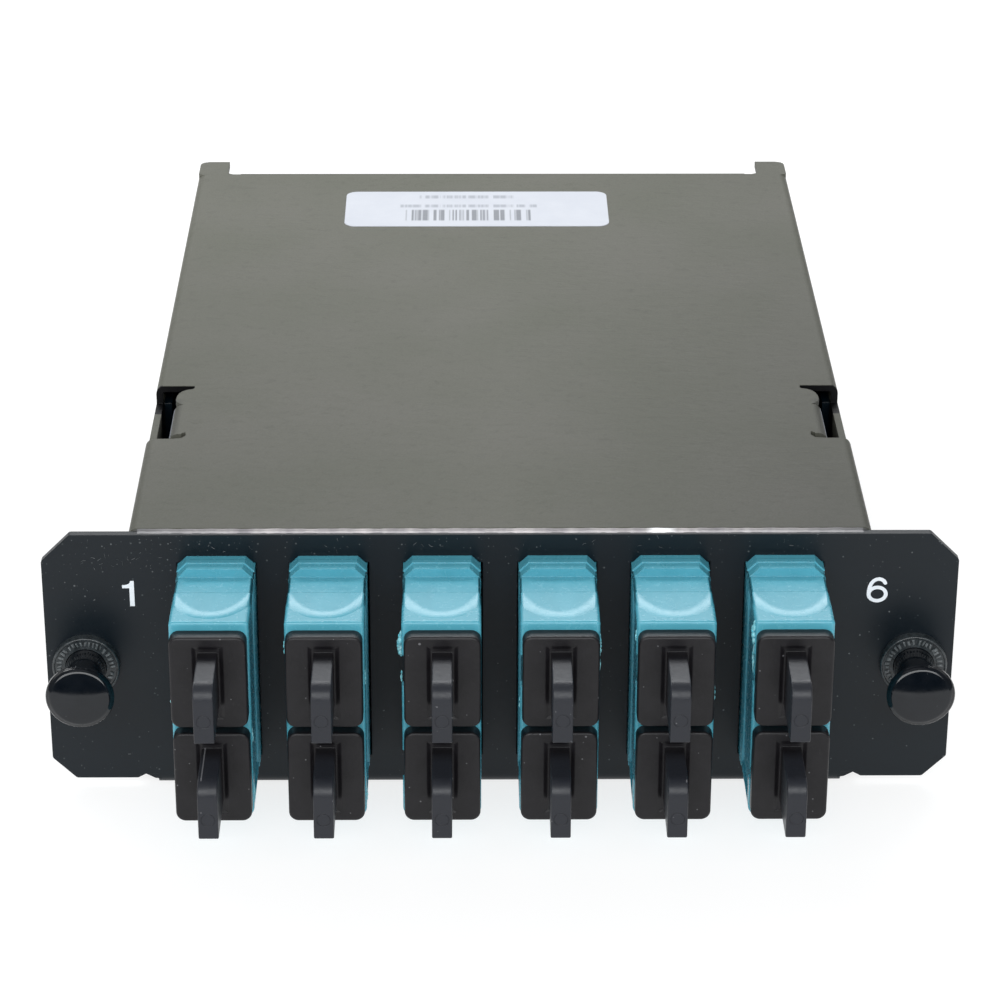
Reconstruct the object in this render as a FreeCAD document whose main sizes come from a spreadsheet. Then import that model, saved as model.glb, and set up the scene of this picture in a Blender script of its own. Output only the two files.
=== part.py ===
import FreeCAD, Part
import os
import math
import Sketcher

# Fibre adapter cassette: a folded tray whose front plate carries six duplex
# SC adapters, closed by a folded cover, with two push-pull latches on the
# plate's wings and one multi-fibre adapter in the rear wall.
#
# Design axes: X to the right, Y from the front plate towards the rear, Z up.
# While the pieces are drawn, Y = 0 is the plate's front face and Z = 0 the
# underside of the tray. Every piece is then placed so that the origin lies
# midway between the two latches, on the plate's rear (seating) face.

os.makedirs("parts", exist_ok=True)

doc = FreeCAD.newDocument("adapter_cassette")
sheet = doc.addObject("Spreadsheet::Sheet", "Dims")
V = FreeCAD.Vector


class Dim:
    """A length that carries both its value and its spreadsheet formula."""

    def __init__(self, value, formula=None):
        self.v = float(value)
        self.f = formula

    def text(self):
        return self.f if self.f is not None else "(%.6f)" % self.v

    def join(self, other, sign, value):
        if self.f is None and other.f is None:
            return Dim(value)
        return Dim(value, "(%s %s %s)" % (self.text(), sign, other.text()))

    def __add__(self, o):
        o = dim(o)
        return self.join(o, "+", self.v + o.v)

    def __radd__(self, o):
        return dim(o) + self

    def __sub__(self, o):
        o = dim(o)
        return self.join(o, "-", self.v - o.v)

    def __rsub__(self, o):
        return dim(o) - self

    def __mul__(self, o):
        o = dim(o)
        return self.join(o, "*", self.v * o.v)

    def __rmul__(self, o):
        return dim(o) * self

    def __truediv__(self, o):
        o = dim(o)
        return self.join(o, "/", self.v / o.v)

    def __neg__(self):
        return self * (-1.0)


def dim(x):
    return x if isinstance(x, Dim) else Dim(x)


row = [0]


def cell(alias, value):
    """Write one driving dimension into the sheet and return it."""
    row[0] += 1
    n = row[0]
    sheet.set("A%d" % n, alias)
    sheet.set("B%d" % n, "%.5f" % value)
    sheet.setAlias("B%d" % n, alias)
    return Dim(value, "Dims.%s" % alias)


# ---------------------------------------------------------------- dimensions
# plate and tray
plate_wide = cell("plate_wide", 109.5)
plate_top = cell("plate_top", 34.5)
plate_low = cell("plate_low", 1.1)
tray_gauge = cell("tray_gauge", 1.0)
cham_top = cell("cham_top", 3.5)
cham_low = cell("cham_low", 2.85)
tongue_half = cell("tongue_half", 41.9)
flange_out = cell("flange_out", 43.4)
flange_top = cell("flange_top", 32.2)
tray_rear = cell("tray_rear", 118.6)
rear_wall_top = cell("rear_wall_top", 33.0)
bend_out = cell("bend_out", 1.5)
bend_in = cell("bend_in", 0.5)
relief_deep = cell("relief_deep", 3.2)
# cover
box_half = cell("box_half", 44.375)
cover_gauge = cell("cover_gauge", 0.9)
cover_top = cell("cover_top", 34.8)
cover_front = cell("cover_front", 1.15)
cover_rear = cell("cover_rear", 119.6)
cover_low = cell("cover_low", 1.7)
cover_bend = cell("cover_bend", 1.2)
rear_bend = cell("rear_bend", 0.75)
ear_rear = cell("ear_rear", 124.05)
ear_out = cell("ear_out", 44.3)
ear_in = cell("ear_in", 39.95)
rear_flange_half = cell("rear_flange_half", 38.0)
rear_flange_low = cell("rear_flange_low", 24.0)
notch_front = cell("notch_front", 26.0)
notch_rear = cell("notch_rear", 41.95)
notch_floor = cell("notch_floor", 32.3)
slot_front = cell("slot_front", 36.2)
slot_floor = cell("slot_floor", 22.0)
# label
label_long = cell("label_long", 38.5)
label_tall = cell("label_tall", 13.7)
label_thick = cell("label_thick", 0.1)
label_x = cell("label_x", -2.48)
label_y = cell("label_y", 104.4)
# adapters
pitch = cell("pitch", 13.55)
cut_wide = cell("cut_wide", 9.5)
cut_tall = cell("cut_tall", 26.6)
adp_wide = cell("adp_wide", 9.25)
adp_tall = cell("adp_tall", 26.22)
adp_front = cell("adp_front", 14.65)
adp_back = cell("adp_back", 11.4)
adp_z = cell("adp_z", 17.55)
adp_flange_tall = cell("adp_flange_tall", 28.5)
adp_flange_deep = cell("adp_flange_deep", 3.4)
port_rise = cell("port_rise", 6.35)
port_wide = cell("port_wide", 7.5)
port_tall = cell("port_tall", 9.1)
key_wide = cell("key_wide", 4.1)
mid_front = cell("mid_front", -2.35)
mid_back = cell("mid_back", -0.85)
holder_out_r = cell("holder_out_r", 2.3)
holder_in_r = cell("holder_in_r", 1.65)
clip_thick = cell("clip_thick", 0.25)
clip_seat = cell("clip_seat", 0.3)
# dust caps
cap_wide = cell("cap_wide", 8.95)
cap_tall = cell("cap_tall", 11.9)
cap_drop = cell("cap_drop", 0.22)
cap_thick = cell("cap_thick", 1.85)
cap_back = cell("cap_back", 14.68)
cap_corner = cell("cap_corner", 1.15)
fin_wide = cell("fin_wide", 2.33)
fin_front = cell("fin_front", 24.9)
fin_high = cell("fin_high", 3.7)
fin_low = cell("fin_low", 3.42)
fin_round = cell("fin_round", 2.0)
frame_half = cell("frame_half", 1.8)
frame_high = cell("frame_high", 4.6)
frame_low = cell("frame_low", 5.05)
frame_deep = cell("frame_deep", 0.2)
mark_r = cell("mark_r", 0.85)
# latches
latch_x = cell("latch_x", 49.95)
latch_z = cell("latch_z", 17.05)
grom_r = cell("grom_r", 4.06)
grom_thick = cell("grom_thick", 0.9)
barrel_r = cell("barrel_r", 3.2)
neck_r = cell("neck_r", 3.0)
barrel_hole_r = cell("barrel_hole_r", 3.25)
barrel_end = cell("barrel_end", 8.0)
bore_r = cell("bore_r", 2.5)
shaft_r = cell("shaft_r", 2.45)
head_r = cell("head_r", 4.07)
head_front = cell("head_front", 8.6)
head_thick = cell("head_thick", 1.0)
shaft_end = cell("shaft_end", 8.3)
dome_r = cell("dome_r", 24.0)
# inner connectors
plug_wide = cell("plug_wide", 7.3)
plug_tall = cell("plug_tall", 8.9)
grip_wide = cell("grip_wide", 8.8)
grip_tall = cell("grip_tall", 11.6)
grip_front = cell("grip_front", 11.6)
grip_back = cell("grip_back", 20.5)
boot_back = cell("boot_back", 29.0)
ferrule_r = cell("ferrule_r", 1.24)
fibre_r = cell("fibre_r", 0.45)
sleeve_out_r = cell("sleeve_out_r", 1.6)
sleeve_in_r = cell("sleeve_in_r", 1.25)
# fan-out and rear adapter
fan_front = cell("fan_front", 64.0)
fan_back = cell("fan_back", 78.0)
fan_half = cell("fan_half", 7.5)
fan_top = cell("fan_top", 9.1)
fan_pitch = cell("fan_pitch", 2.0)
fan_row_low = cell("fan_row_low", 4.0)
fan_row_high = cell("fan_row_high", 6.6)
trunk_r = cell("trunk_r", 1.5)
mpo_z = cell("mpo_z", 12.0)
mpo_half_x = cell("mpo_half_x", 7.1)
mpo_half_z = cell("mpo_half_z", 5.3)
mpo_front = cell("mpo_front", 106.0)
mpo_back = cell("mpo_back", 127.0)
mpo_cav_x = cell("mpo_cav_x", 6.25)
mpo_cav_z = cell("mpo_cav_z", 3.9)
# cover screws
screw_y_front = cell("screw_y_front", 16.0)
screw_y_rear = cell("screw_y_rear", 100.0)
screw_z = cell("screw_z", 18.0)
screw_r = cell("screw_r", 1.25)
screw_head_r = cell("screw_head_r", 2.2)
# the origin, measured from the drawing datum
origin_y = cell("origin_y", 1.0)
origin_z = cell("origin_z", 17.05)
doc.recompute()

count = [0]


def label(stem):
    count[0] += 1
    return "%s_%03d" % (stem, count[0])


def bind(obj, prop, d):
    d = dim(d)
    if not prop.startswith("Placement") and not prop.startswith("AttachmentOffset"):
        setattr(obj, prop, d.v)
    if d.f is not None:
        obj.setExpression(prop, d.f)


def place(obj, x, y, z, rot=None):
    x, y, z = dim(x), dim(y), dim(z)
    obj.Placement = FreeCAD.Placement(V(x.v, y.v, z.v), rot or FreeCAD.Rotation())
    for key, d in (("x", x), ("y", y), ("z", z)):
        bind(obj, "Placement.Base." + key, d)


def box(stem, x, y, z):
    """A block from its low and high corner on each axis."""
    o = doc.addObject("Part::Box", label(stem))
    bind(o, "Length", dim(x[1]) - x[0])
    bind(o, "Width", dim(y[1]) - y[0])
    bind(o, "Height", dim(z[1]) - z[0])
    place(o, x[0], y[0], z[0])
    return o


ALONG = {
    "Y": FreeCAD.Rotation(V(1, 0, 0), -90),
    "-Y": FreeCAD.Rotation(V(1, 0, 0), 90),
    "X": FreeCAD.Rotation(V(0, 1, 0), 90),
    "-X": FreeCAD.Rotation(V(0, 1, 0), -90),
    "Z": FreeCAD.Rotation(),
}


def cyl(stem, axis, r, length, x, y, z):
    o = doc.addObject("Part::Cylinder", label(stem))
    bind(o, "Radius", r)
    bind(o, "Height", length)
    place(o, x, y, z, ALONG[axis])
    return o


def cone(stem, axis, r1, r2, length, x, y, z):
    o = doc.addObject("Part::Cone", label(stem))
    bind(o, "Radius1", r1)
    bind(o, "Radius2", r2)
    bind(o, "Height", length)
    place(o, x, y, z, ALONG[axis])
    return o


def fuse(stem, shapes):
    o = doc.addObject("Part::MultiFuse", label(stem))
    o.Shapes = shapes
    o.Refine = True
    return o


def cut(stem, base, tools):
    tool = tools[0] if len(tools) == 1 else fuse(stem + "_tools", tools)
    o = doc.addObject("Part::Cut", label(stem))
    o.Base = base
    o.Tool = tool
    return o


def round_edges(stem, base, pick, radius):
    """Round the picked edges; pick takes an edge and gives a radius or 0."""
    doc.recompute()
    edges = []
    for i, e in enumerate(base.Shape.Edges, 1):
        r = pick(e)
        if r:
            edges.append((i, float(r) * radius, float(r) * radius))
    if not edges:
        raise RuntimeError("no edge to round on " + base.Name)
    o = doc.addObject("Part::Fillet", label(stem))
    o.Base = base
    o.Edges = edges
    return o


SKETCH_ROT = {
    "XY": FreeCAD.Rotation(),
    "XZ": FreeCAD.Rotation(V(1, 0, 0), 90),
    "YZ": FreeCAD.Rotation(0.5, 0.5, 0.5, 0.5),
}


def fill_sketch(sk, loops):
    """Draw closed loops (lists of points, or circles) fully dimensioned."""
    cons, binds = [], []

    def tie(kind, index, point, d):
        axis = -2 if kind == "DistanceX" else -1
        if d.f is None and abs(d.v) < 1e-9:
            cons.append(Sketcher.Constraint("PointOnObject", index, point, axis))
        else:
            cons.append(Sketcher.Constraint(kind, -1, 1, index, point, d.v))
            if d.f is not None:
                binds.append((len(cons) - 1, d.f))

    for loop in loops:
        first = sk.GeometryCount
        if isinstance(loop, dict):
            cx, cy, r = dim(loop["x"]), dim(loop["y"]), dim(loop["r"])
            sk.addGeometry(Part.Circle(V(cx.v, cy.v, 0), V(0, 0, 1), r.v), False)
            tie("DistanceX", first, 3, cx)
            tie("DistanceY", first, 3, cy)
            cons.append(Sketcher.Constraint("Radius", first, r.v))
            if r.f is not None:
                binds.append((len(cons) - 1, r.f))
            continue
        pts = [(dim(a), dim(b)) for a, b in loop]
        n = len(pts)
        sk.addGeometry([Part.LineSegment(V(pts[i][0].v, pts[i][1].v, 0),
                                         V(pts[(i + 1) % n][0].v, pts[(i + 1) % n][1].v, 0))
                        for i in range(n)], False)
        for i in range(n):
            cons.append(Sketcher.Constraint("Coincident", first + i, 2, first + (i + 1) % n, 1))
        for i, (a, b) in enumerate(pts):
            tie("DistanceX", first + i, 1, a)
            tie("DistanceY", first + i, 1, b)
    sk.addConstraint(cons)
    for index, formula in binds:
        sk.setExpression("Constraints[%d]" % index, formula)


def prism(stem, plane, loops, lo, hi):
    """Loops drawn on a plane at lo and pushed to hi."""
    lo, hi = dim(lo), dim(hi)
    sk = doc.addObject("Sketcher::SketchObject", label(stem + "_sketch"))
    at = {"XY": (0, 0, lo), "XZ": (0, lo, 0), "YZ": (lo, 0, 0)}[plane]
    place(sk, at[0], at[1], at[2], SKETCH_ROT[plane])
    fill_sketch(sk, loops)
    o = doc.addObject("Part::Extrusion", label(stem))
    o.Base = sk
    o.DirMode = "Custom"
    o.Dir = {"XY": V(0, 0, 1), "XZ": V(0, 1, 0), "YZ": V(1, 0, 0)}[plane]
    o.Solid = True
    bind(o, "LengthFwd", hi - lo)
    return o


# ----------------------------------------------------- bodies with features
def new_body(stem):
    return doc.addObject("PartDesign::Body", stem + "_body")


def body_sketch(body, stem, plane, loops, level):
    role = plane + "_Plane"
    origin_plane = [o for o in body.Origin.OriginFeatures if o.Role == role][0]
    sk = body.newObject("Sketcher::SketchObject", label(stem))
    sk.AttachmentSupport = [(origin_plane, "")]
    sk.MapMode = "FlatFace"
    # the XZ plane looks towards -Y, so its offset runs the other way
    off = -dim(level) if plane == "XZ" else dim(level)
    sk.AttachmentOffset = FreeCAD.Placement(V(0, 0, off.v), FreeCAD.Rotation())
    bind(sk, "AttachmentOffset.Base.z", off)
    fill_sketch(sk, loops)
    return sk


def pad(body, stem, plane, loops, lo, hi):
    lo, hi = dim(lo), dim(hi)
    sk = body_sketch(body, stem + "_sketch", plane, loops, lo)
    p = body.newObject("PartDesign::Pad", label(stem))
    p.Profile = sk
    bind(p, "Length", hi - lo)
    p.Reversed = plane == "XZ"
    return p


def pocket(body, stem, plane, loops, lo, hi):
    lo, hi = dim(lo), dim(hi)
    doc.recompute()
    before = body.Shape.Volume
    # a pocket runs against its sketch's normal: towards +Y from XZ,
    # and downwards or towards -X from the other two
    level = lo if plane == "XZ" else hi
    sk = body_sketch(body, stem + "_sketch", plane, loops, level)
    p = body.newObject("PartDesign::Pocket", label(stem))
    p.Profile = sk
    bind(p, "Length", hi - lo)
    doc.recompute()
    if body.Shape.Volume >= before - 1e-3:
        raise RuntimeError("pocket %s removed nothing" % stem)
    return p


def body_fillet(body, stem, pick, radius):
    doc.recompute()
    tip = body.Tip
    names = ["Edge%d" % i for i, e in enumerate(tip.Shape.Edges, 1) if pick(e)]
    if not names:
        raise RuntimeError("no edge for " + stem)
    f = body.newObject("PartDesign::Fillet", label(stem))
    f.Base = (tip, names)
    bind(f, "Radius", radius)
    doc.recompute()
    return f


def span(e):
    return e.BoundBox


def close(a, b, tol=0.02):
    return abs(a - b) < tol


def on_line(e, along, fixed):
    """True for an edge that runs along one axis at fixed other coordinates."""
    bb = span(e)
    lo = {"X": bb.XMin, "Y": bb.YMin, "Z": bb.ZMin}
    hi = {"X": bb.XMax, "Y": bb.YMax, "Z": bb.ZMax}
    if hi[along] - lo[along] < 0.05:
        return False
    return all(close(lo[k], v) and close(hi[k], v) for k, v in fixed.items())


pieces = []


def finish_piece(obj, node):
    """Name a finished piece and place it in the frame of the two latches."""
    obj.Label = node
    obj.Placement = FreeCAD.Placement(V(0, -origin_y.v, -origin_z.v), FreeCAD.Rotation())
    obj.setExpression("Placement.Base.y", "-Dims.origin_y")
    obj.setExpression("Placement.Base.z", "-Dims.origin_z")
    pieces.append((node, obj))


# ------------------------------------------------------------------ the tray
xs = [pitch * (k - 2.5) for k in range(6)]
half = plate_wide / 2
# each adapter sits a little to one side of its place in the row
play = [0.04, -0.19, -0.21, -0.01, -0.11, 0.01]
adapter_x = []
cut_x = []
for k in range(6):
    shift = cell("play_%s" % "abcdef"[k], play[k])
    adapter_x.append(xs[k] + shift)
    cut_x.append(xs[k] + shift * 0.5)

tray = new_body("base_tray")
g = tray_gauge
pad(tray, "floor", "XY", [[
    (-tongue_half, 0), (tongue_half, 0), (tongue_half, relief_deep),
    (flange_out, relief_deep), (flange_out, tray_rear - 1.6),
    (tongue_half, tray_rear - 1.6), (tongue_half, tray_rear),
    (-tongue_half, tray_rear), (-tongue_half, tray_rear - 1.6),
    (-flange_out, tray_rear - 1.6), (-flange_out, relief_deep),
    (-tongue_half, relief_deep)]], 0, g)
pad(tray, "front_plate", "XZ", [[
    (-half + cham_low, plate_low), (-44.4, plate_low), (-43.45, 1.62),
    (-tongue_half, 1.62), (-tongue_half, 0),
    (tongue_half, 0), (tongue_half, 1.62),
    (43.45, 1.62), (44.4, plate_low), (half - cham_low, plate_low),
    (half, plate_low + cham_low), (half, plate_top - cham_top),
    (half - cham_top, plate_top), (-half + cham_top, plate_top),
    (-half, plate_top - cham_top), (-half, plate_low + cham_low)]], 0, g)
pad(tray, "rear_wall", "XZ", [[
    (-tongue_half, 0), (tongue_half, 0),
    (tongue_half, rear_wall_top), (-tongue_half, rear_wall_top)]],
    tray_rear - g, tray_rear)
for s, lo, hi in (("left", -flange_out, -flange_out + g), ("right", flange_out - g, flange_out)):
    pad(tray, "side_" + s, "YZ", [[
        (relief_deep, 0), (tray_rear - 1.6, 0),
        (tray_rear - 1.6, flange_top), (relief_deep, flange_top)]], lo, hi)
# bend radii, outside and inside
body_fillet(tray, "outer_bends", lambda e: (
    on_line(e, "X", {"Y": 0, "Z": 0}) or on_line(e, "X", {"Y": tray_rear.v, "Z": 0})
    or on_line(e, "Y", {"X": flange_out.v, "Z": 0})
    or on_line(e, "Y", {"X": -flange_out.v, "Z": 0})), bend_out)
body_fillet(tray, "inner_bends", lambda e: (
    on_line(e, "X", {"Y": g.v, "Z": g.v}) or on_line(e, "X", {"Y": tray_rear.v - g.v, "Z": g.v})
    or on_line(e, "Y", {"X": flange_out.v - g.v, "Z": g.v})
    or on_line(e, "Y", {"X": -flange_out.v + g.v, "Z": g.v})), bend_in)
# torn corners of the bend reliefs
pad(tray, "relief_corners", "XZ", [
    [(s * 41.5, 0.9), (s * 42.3, 1.0), (s * 43.45, 1.62), (s * 41.5, 1.62)] for s in (-1, 1)],
    0.05, g)
# blunted plate corners
corner_x = (half.v, half.v - cham_top.v, half.v - cham_low.v)
body_fillet(tray, "plate_corners", lambda e: (
    span(e).YMax - span(e).YMin > 0.9 and span(e).XMax - span(e).XMin < 0.01
    and span(e).YMax < g.v + 0.01
    and any(close(abs(span(e).XMin), c) for c in corner_x)), 0.5)
# six adapter cut-outs and the two latch holes
pocket(tray, "adapter_cutouts", "XZ",
       [[(x - cut_wide / 2, adp_z - cut_tall / 2), (x + cut_wide / 2, adp_z - cut_tall / 2),
         (x + cut_wide / 2, adp_z + cut_tall / 2), (x - cut_wide / 2, adp_z + cut_tall / 2)]
        for x in cut_x], 0, g)
pocket(tray, "latch_holes", "XZ",
       [{"x": s * latch_x, "y": latch_z, "r": barrel_hole_r} for s in (-1, 1)], 0, g)
# rear adapter cut-out
pocket(tray, "rear_cutout", "XZ", [[
    (-mpo_half_x - 0.1, mpo_z - mpo_half_z - 0.1), (mpo_half_x + 0.1, mpo_z - mpo_half_z - 0.1),
    (mpo_half_x + 0.1, mpo_z + mpo_half_z + 0.1), (-mpo_half_x - 0.1, mpo_z + mpo_half_z + 0.1)]],
    tray_rear - g - 0.5, tray_rear)
# screw holes and the slots below the cover's notches in both side flanges
pocket(tray, "screw_holes", "YZ",
       [{"x": y, "y": screw_z, "r": screw_r + 0.03} for y in (screw_y_front, screw_y_rear)],
       -flange_out, flange_out)
pocket(tray, "side_slots", "YZ", [[
    (notch_front - 0.5, slot_floor), (notch_rear + 0.3, slot_floor),
    (notch_rear + 0.3, flange_top + 1), (notch_front - 0.5, flange_top + 1)]], -flange_out, flange_out)
doc.recompute()
finish_piece(tray, "base_tray")

# ----------------------------------------------------------------- the cover
cover = new_body("top_cover")
c = cover_gauge
pad(cover, "top_sheet", "XY", [[
    (-box_half, cover_front), (box_half, cover_front), (box_half, cover_rear),
    (ear_in, cover_rear), (39.75, cover_rear - 0.45), (39.1, cover_rear - 0.8),
    (rear_flange_half, cover_rear - 0.8), (rear_flange_half, cover_rear),
    (-rear_flange_half, cover_rear), (-rear_flange_half, cover_rear - 0.8),
    (-39.1, cover_rear - 0.8), (-39.75, cover_rear - 0.45), (-ear_in, cover_rear),
    (-box_half, cover_rear)]], cover_top - c, cover_top)
for s, lo, hi in (("left", -box_half, -box_half + c), ("right", box_half - c, box_half)):
    pad(cover, "wall_" + s, "YZ", [[
        (cover_front, cover_low), (cover_rear, cover_low),
        (cover_rear, cover_top), (cover_front, cover_top)]], lo, hi)
pad(cover, "rear_flange", "XZ", [[
    (-rear_flange_half, rear_flange_low), (rear_flange_half, rear_flange_low),
    (rear_flange_half, cover_top), (-rear_flange_half, cover_top)]],
    cover_rear - c, cover_rear)
body_fillet(cover, "side_bends", lambda e: (
    on_line(e, "Y", {"X": box_half.v, "Z": cover_top.v})
    or on_line(e, "Y", {"X": -box_half.v, "Z": cover_top.v})), cover_bend)
body_fillet(cover, "rear_bend", lambda e: (
    on_line(e, "X", {"Y": cover_rear.v, "Z": cover_top.v}) and span(e).XMax - span(e).XMin > 50),
    rear_bend)
body_fillet(cover, "inner_bends", lambda e: (
    on_line(e, "Y", {"X": box_half.v - c.v, "Z": cover_top.v - c.v})
    or on_line(e, "Y", {"X": -box_half.v + c.v, "Z": cover_top.v - c.v})), cover_bend - c)
# ears beyond the rear edge, in the plane of the top sheet
for s in (-1, 1):
    pad(cover, "ear", "XY", [[
        (s * ear_in, cover_rear - 1.5), (s * 43.0, cover_rear - 1.5), (s * ear_out, cover_rear - 0.6),
        (s * ear_out, ear_rear - 1.3), (s * (ear_out - 0.12), ear_rear - 0.72),
        (s * (ear_out - 0.48), ear_rear - 0.3), (s * (ear_out - 1.3), ear_rear),
        (s * ear_in, ear_rear)]], cover_top - c, cover_top)
# side notches, each with a bent tab in its front part
for s in (-1, 1):
    pocket(cover, "notch", "XY", [[
        (s * 45.0, notch_front), (s * 41.45, notch_front), (s * 39.9, notch_front + 0.2),
        (s * 39.4, notch_front + 1.0), (s * 39.5, notch_front + 1.9), (s * 40.4, notch_front + 1.3),
        (s * 40.4, slot_front), (s * 40.8, slot_front + 0.25), (s * 41.25, 36.9), (s * 41.45, 37.7), (s * 41.4, 38.7),
        (s * 41.2, 39.6), (s * 40.8, 40.3), (s * 40.2, 40.8), (s * 39.5, 41.0), (s * 39.3, 41.3), (s * 39.35, notch_rear),
        (s * 45.0, notch_rear)]], notch_floor, cover_top + 0.5)
# the tabs: a quarter bend and a short leg
for s in (-1, 1):
    ro, ri = 1.3, 0.4
    cx, cz = 40.35, cover_top.v - 1.3
    outer = [(cx + ro * math.sin(math.radians(a)), cz + ro * math.cos(math.radians(a))) for a in range(0, 91, 10)]
    inner = [(cx + ri * math.sin(math.radians(a)), cz + ri * math.cos(math.radians(a))) for a in range(90, -1, -15)]
    ring = [(cx - 0.4, cz + ro)] + outer + [(cx + ro, 29.0), (cx + ri, 29.0)] + inner + [(cx - 0.4, cz + ri)]
    pad(cover, "tab", "XZ", [[(s * a, b) for a, b in ring]], notch_front + 1.35, slot_front - 0.05)
doc.recompute()
sinks = []
for y in (screw_y_front, screw_y_rear):
    for s in (-1, 1):
        sinks.append(cone("sink", "-X" if s > 0 else "X", screw_head_r + 0.06, screw_r + 0.06, 0.951,
                          s * box_half + s * 0.001, y, screw_z))
cover_cut = cut("top_cover", cover, sinks)
doc.recompute()
finish_piece(cover_cut, "top_cover")

# ----------------------------------------------------------- cover screws
screws = []
for y in (screw_y_front, screw_y_rear):
    for s in (-1, 1):
        way = "-X" if s > 0 else "X"
        head = cone("screw_head", way, screw_head_r, screw_r, 0.95, s * box_half, y, screw_z)
        shank = cyl("screw_shank", way, screw_r, 4.9, s * box_half, y, screw_z)
        drive = doc.addObject("Part::Prism", label("screw_drive"))
        drive.Polygon = 6
        drive.Circumradius = 0.85
        drive.Height = 0.62
        place(drive, s * (box_half + 0.01), y, screw_z, ALONG[way])
        screws.append(cut("screw", fuse("screw_blank", [head, shank]), [drive]))
screw_set = doc.addObject("Part::Compound", "cover_screw_set")
screw_set.Links = screws
finish_piece(screw_set, "cover_screws")

# ------------------------------------------------------------------ the label
tag = new_body("label")
pad(tag, "label_sheet", "XY", [[
    (label_x - label_long / 2, label_y - label_tall / 2), (label_x + label_long / 2, label_y - label_tall / 2),
    (label_x + label_long / 2, label_y + label_tall / 2), (label_x - label_long / 2, label_y + label_tall / 2)]],
    cover_top, cover_top + label_thick)
body_fillet(tag, "label_corners", lambda e: (
    span(e).ZMax - span(e).ZMin > 0.05 and span(e).XMax - span(e).XMin < 0.01
    and span(e).YMax - span(e).YMin < 0.01), 1.6)
finish_piece(tag, "top_label")

# ------------------------------------------------------------------ adapters


def chamfered(x, hw, hh, ch):
    return [(x - hw + ch, adp_z - hh), (x + hw - ch, adp_z - hh), (x + hw, adp_z - hh + ch),
            (x + hw, adp_z + hh - ch), (x + hw - ch, adp_z + hh), (x - hw + ch, adp_z + hh),
            (x - hw, adp_z + hh - ch), (x - hw, adp_z - hh + ch)]


def make_adapter(k):
    x = adapter_x[k]
    hw, hh = adp_wide / 2, adp_tall / 2
    shell = box("shell", (x - hw, x + hw), (-adp_front, -7.3), (adp_z - hh, adp_z + hh))
    shell = round_edges("shell_round", shell, lambda e: (
        (1.0 if span(e).ZMin > adp_z.v else 2.4)
        if on_line(e, "Y", {}) and span(e).XMax - span(e).XMin < 0.01 and span(e).ZMax - span(e).ZMin < 0.01
        else (0.7 if close(span(e).YMax, -adp_front.v) else 0)), 0.5)
    neck = box("neck", (x - hw + 0.07, x + hw - 0.07), (-7.35, 0), (adp_z - hh + 0.07, adp_z + hh - 0.07))
    neck = round_edges("neck_round", neck, lambda e: (
        1.0 if span(e).YMax - span(e).YMin > 1 else 0), 0.45)
    fh = adp_flange_tall / 2
    # two welded flange halves with a groove between them
    f1 = prism("flange_rear", "XZ", [chamfered(x, hw, fh - 0.1, 1.1)], -1.1, 0)
    f2 = prism("flange_half", "XZ", [chamfered(x, hw, fh, 1.15)], -1.95, -1.1)
    f3 = prism("flange_groove", "XZ", [chamfered(x, hw - 0.12, fh - 0.14, 1.15)], -2.75, -1.95)
    f4 = prism("flange_lip", "XZ", [chamfered(x, hw, fh - 0.08, 1.35)], -adp_flange_deep, -2.75)
    tail = box("tail", (x - hw, x + hw), (-0.1, adp_back), (adp_z - hh, adp_z + hh))
    blank = fuse("adapter_blank", [shell, neck, f1, f2, f3, f4, tail])
    tools = []
    # shallow hollow on each long side face
    for s in (-1, 1):
        a, b = (x + hw - 0.28, x + hw + 0.5) if s > 0 else (x - hw - 0.5, x - hw + 0.28)
        tools.append(box("side_hollow", (a, b), (-13.35, -4.05), (adp_z - 11.9, adp_z + 11.9)))
    # the seat of the spring clip, right round
    seat = box("clip_seat", (x - hw - 1, x + hw + 1), (1.2, 8.5), (adp_z - hh - 1, adp_z + hh + 1))
    core = box("clip_core", (x - hw + clip_seat, x + hw - clip_seat), (1.1, 8.6),
               (adp_z - hh + clip_seat, adp_z + hh - clip_seat))
    tools.append(cut("clip_ring", seat, [core]))
    for s in (-1, 1):
        z = adp_z + s * port_rise
        pw, ph = port_wide / 2, port_tall / 2
        front = box("port_front", (x - pw, x + pw), (-adp_front - 1, mid_front), (z - ph, z + ph))
        back = box("port_back", (x - pw, x + pw), (mid_back, adp_back + 1), (z - ph, z + ph))
        keep = cyl("holder_core", "Y", holder_out_r, 12.0, x, -7.6, z)
        tools.append(cut("ports", fuse("port_pair", [front, back]), [keep]))
        tools.append(cyl("sleeve_bore", "Y", holder_in_r, 14.0, x, -8.6, z))
        tools.append(box("key_slot", (x - hw - 1, x - pw + 0.3), (-adp_front - 1, -11.9),
                         (z + 0.3 - key_wide / 2, z + 0.3 + key_wide / 2)))
        tools.append(box("key_slot_rear", (x - hw - 1, x - pw + 0.3), (9.0, adp_back + 1),
                         (z + 0.3 - key_wide / 2, z + 0.3 + key_wide / 2)))
    finish_piece(cut("adapter", blank, tools), "adapter_%d" % (k + 1))


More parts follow.
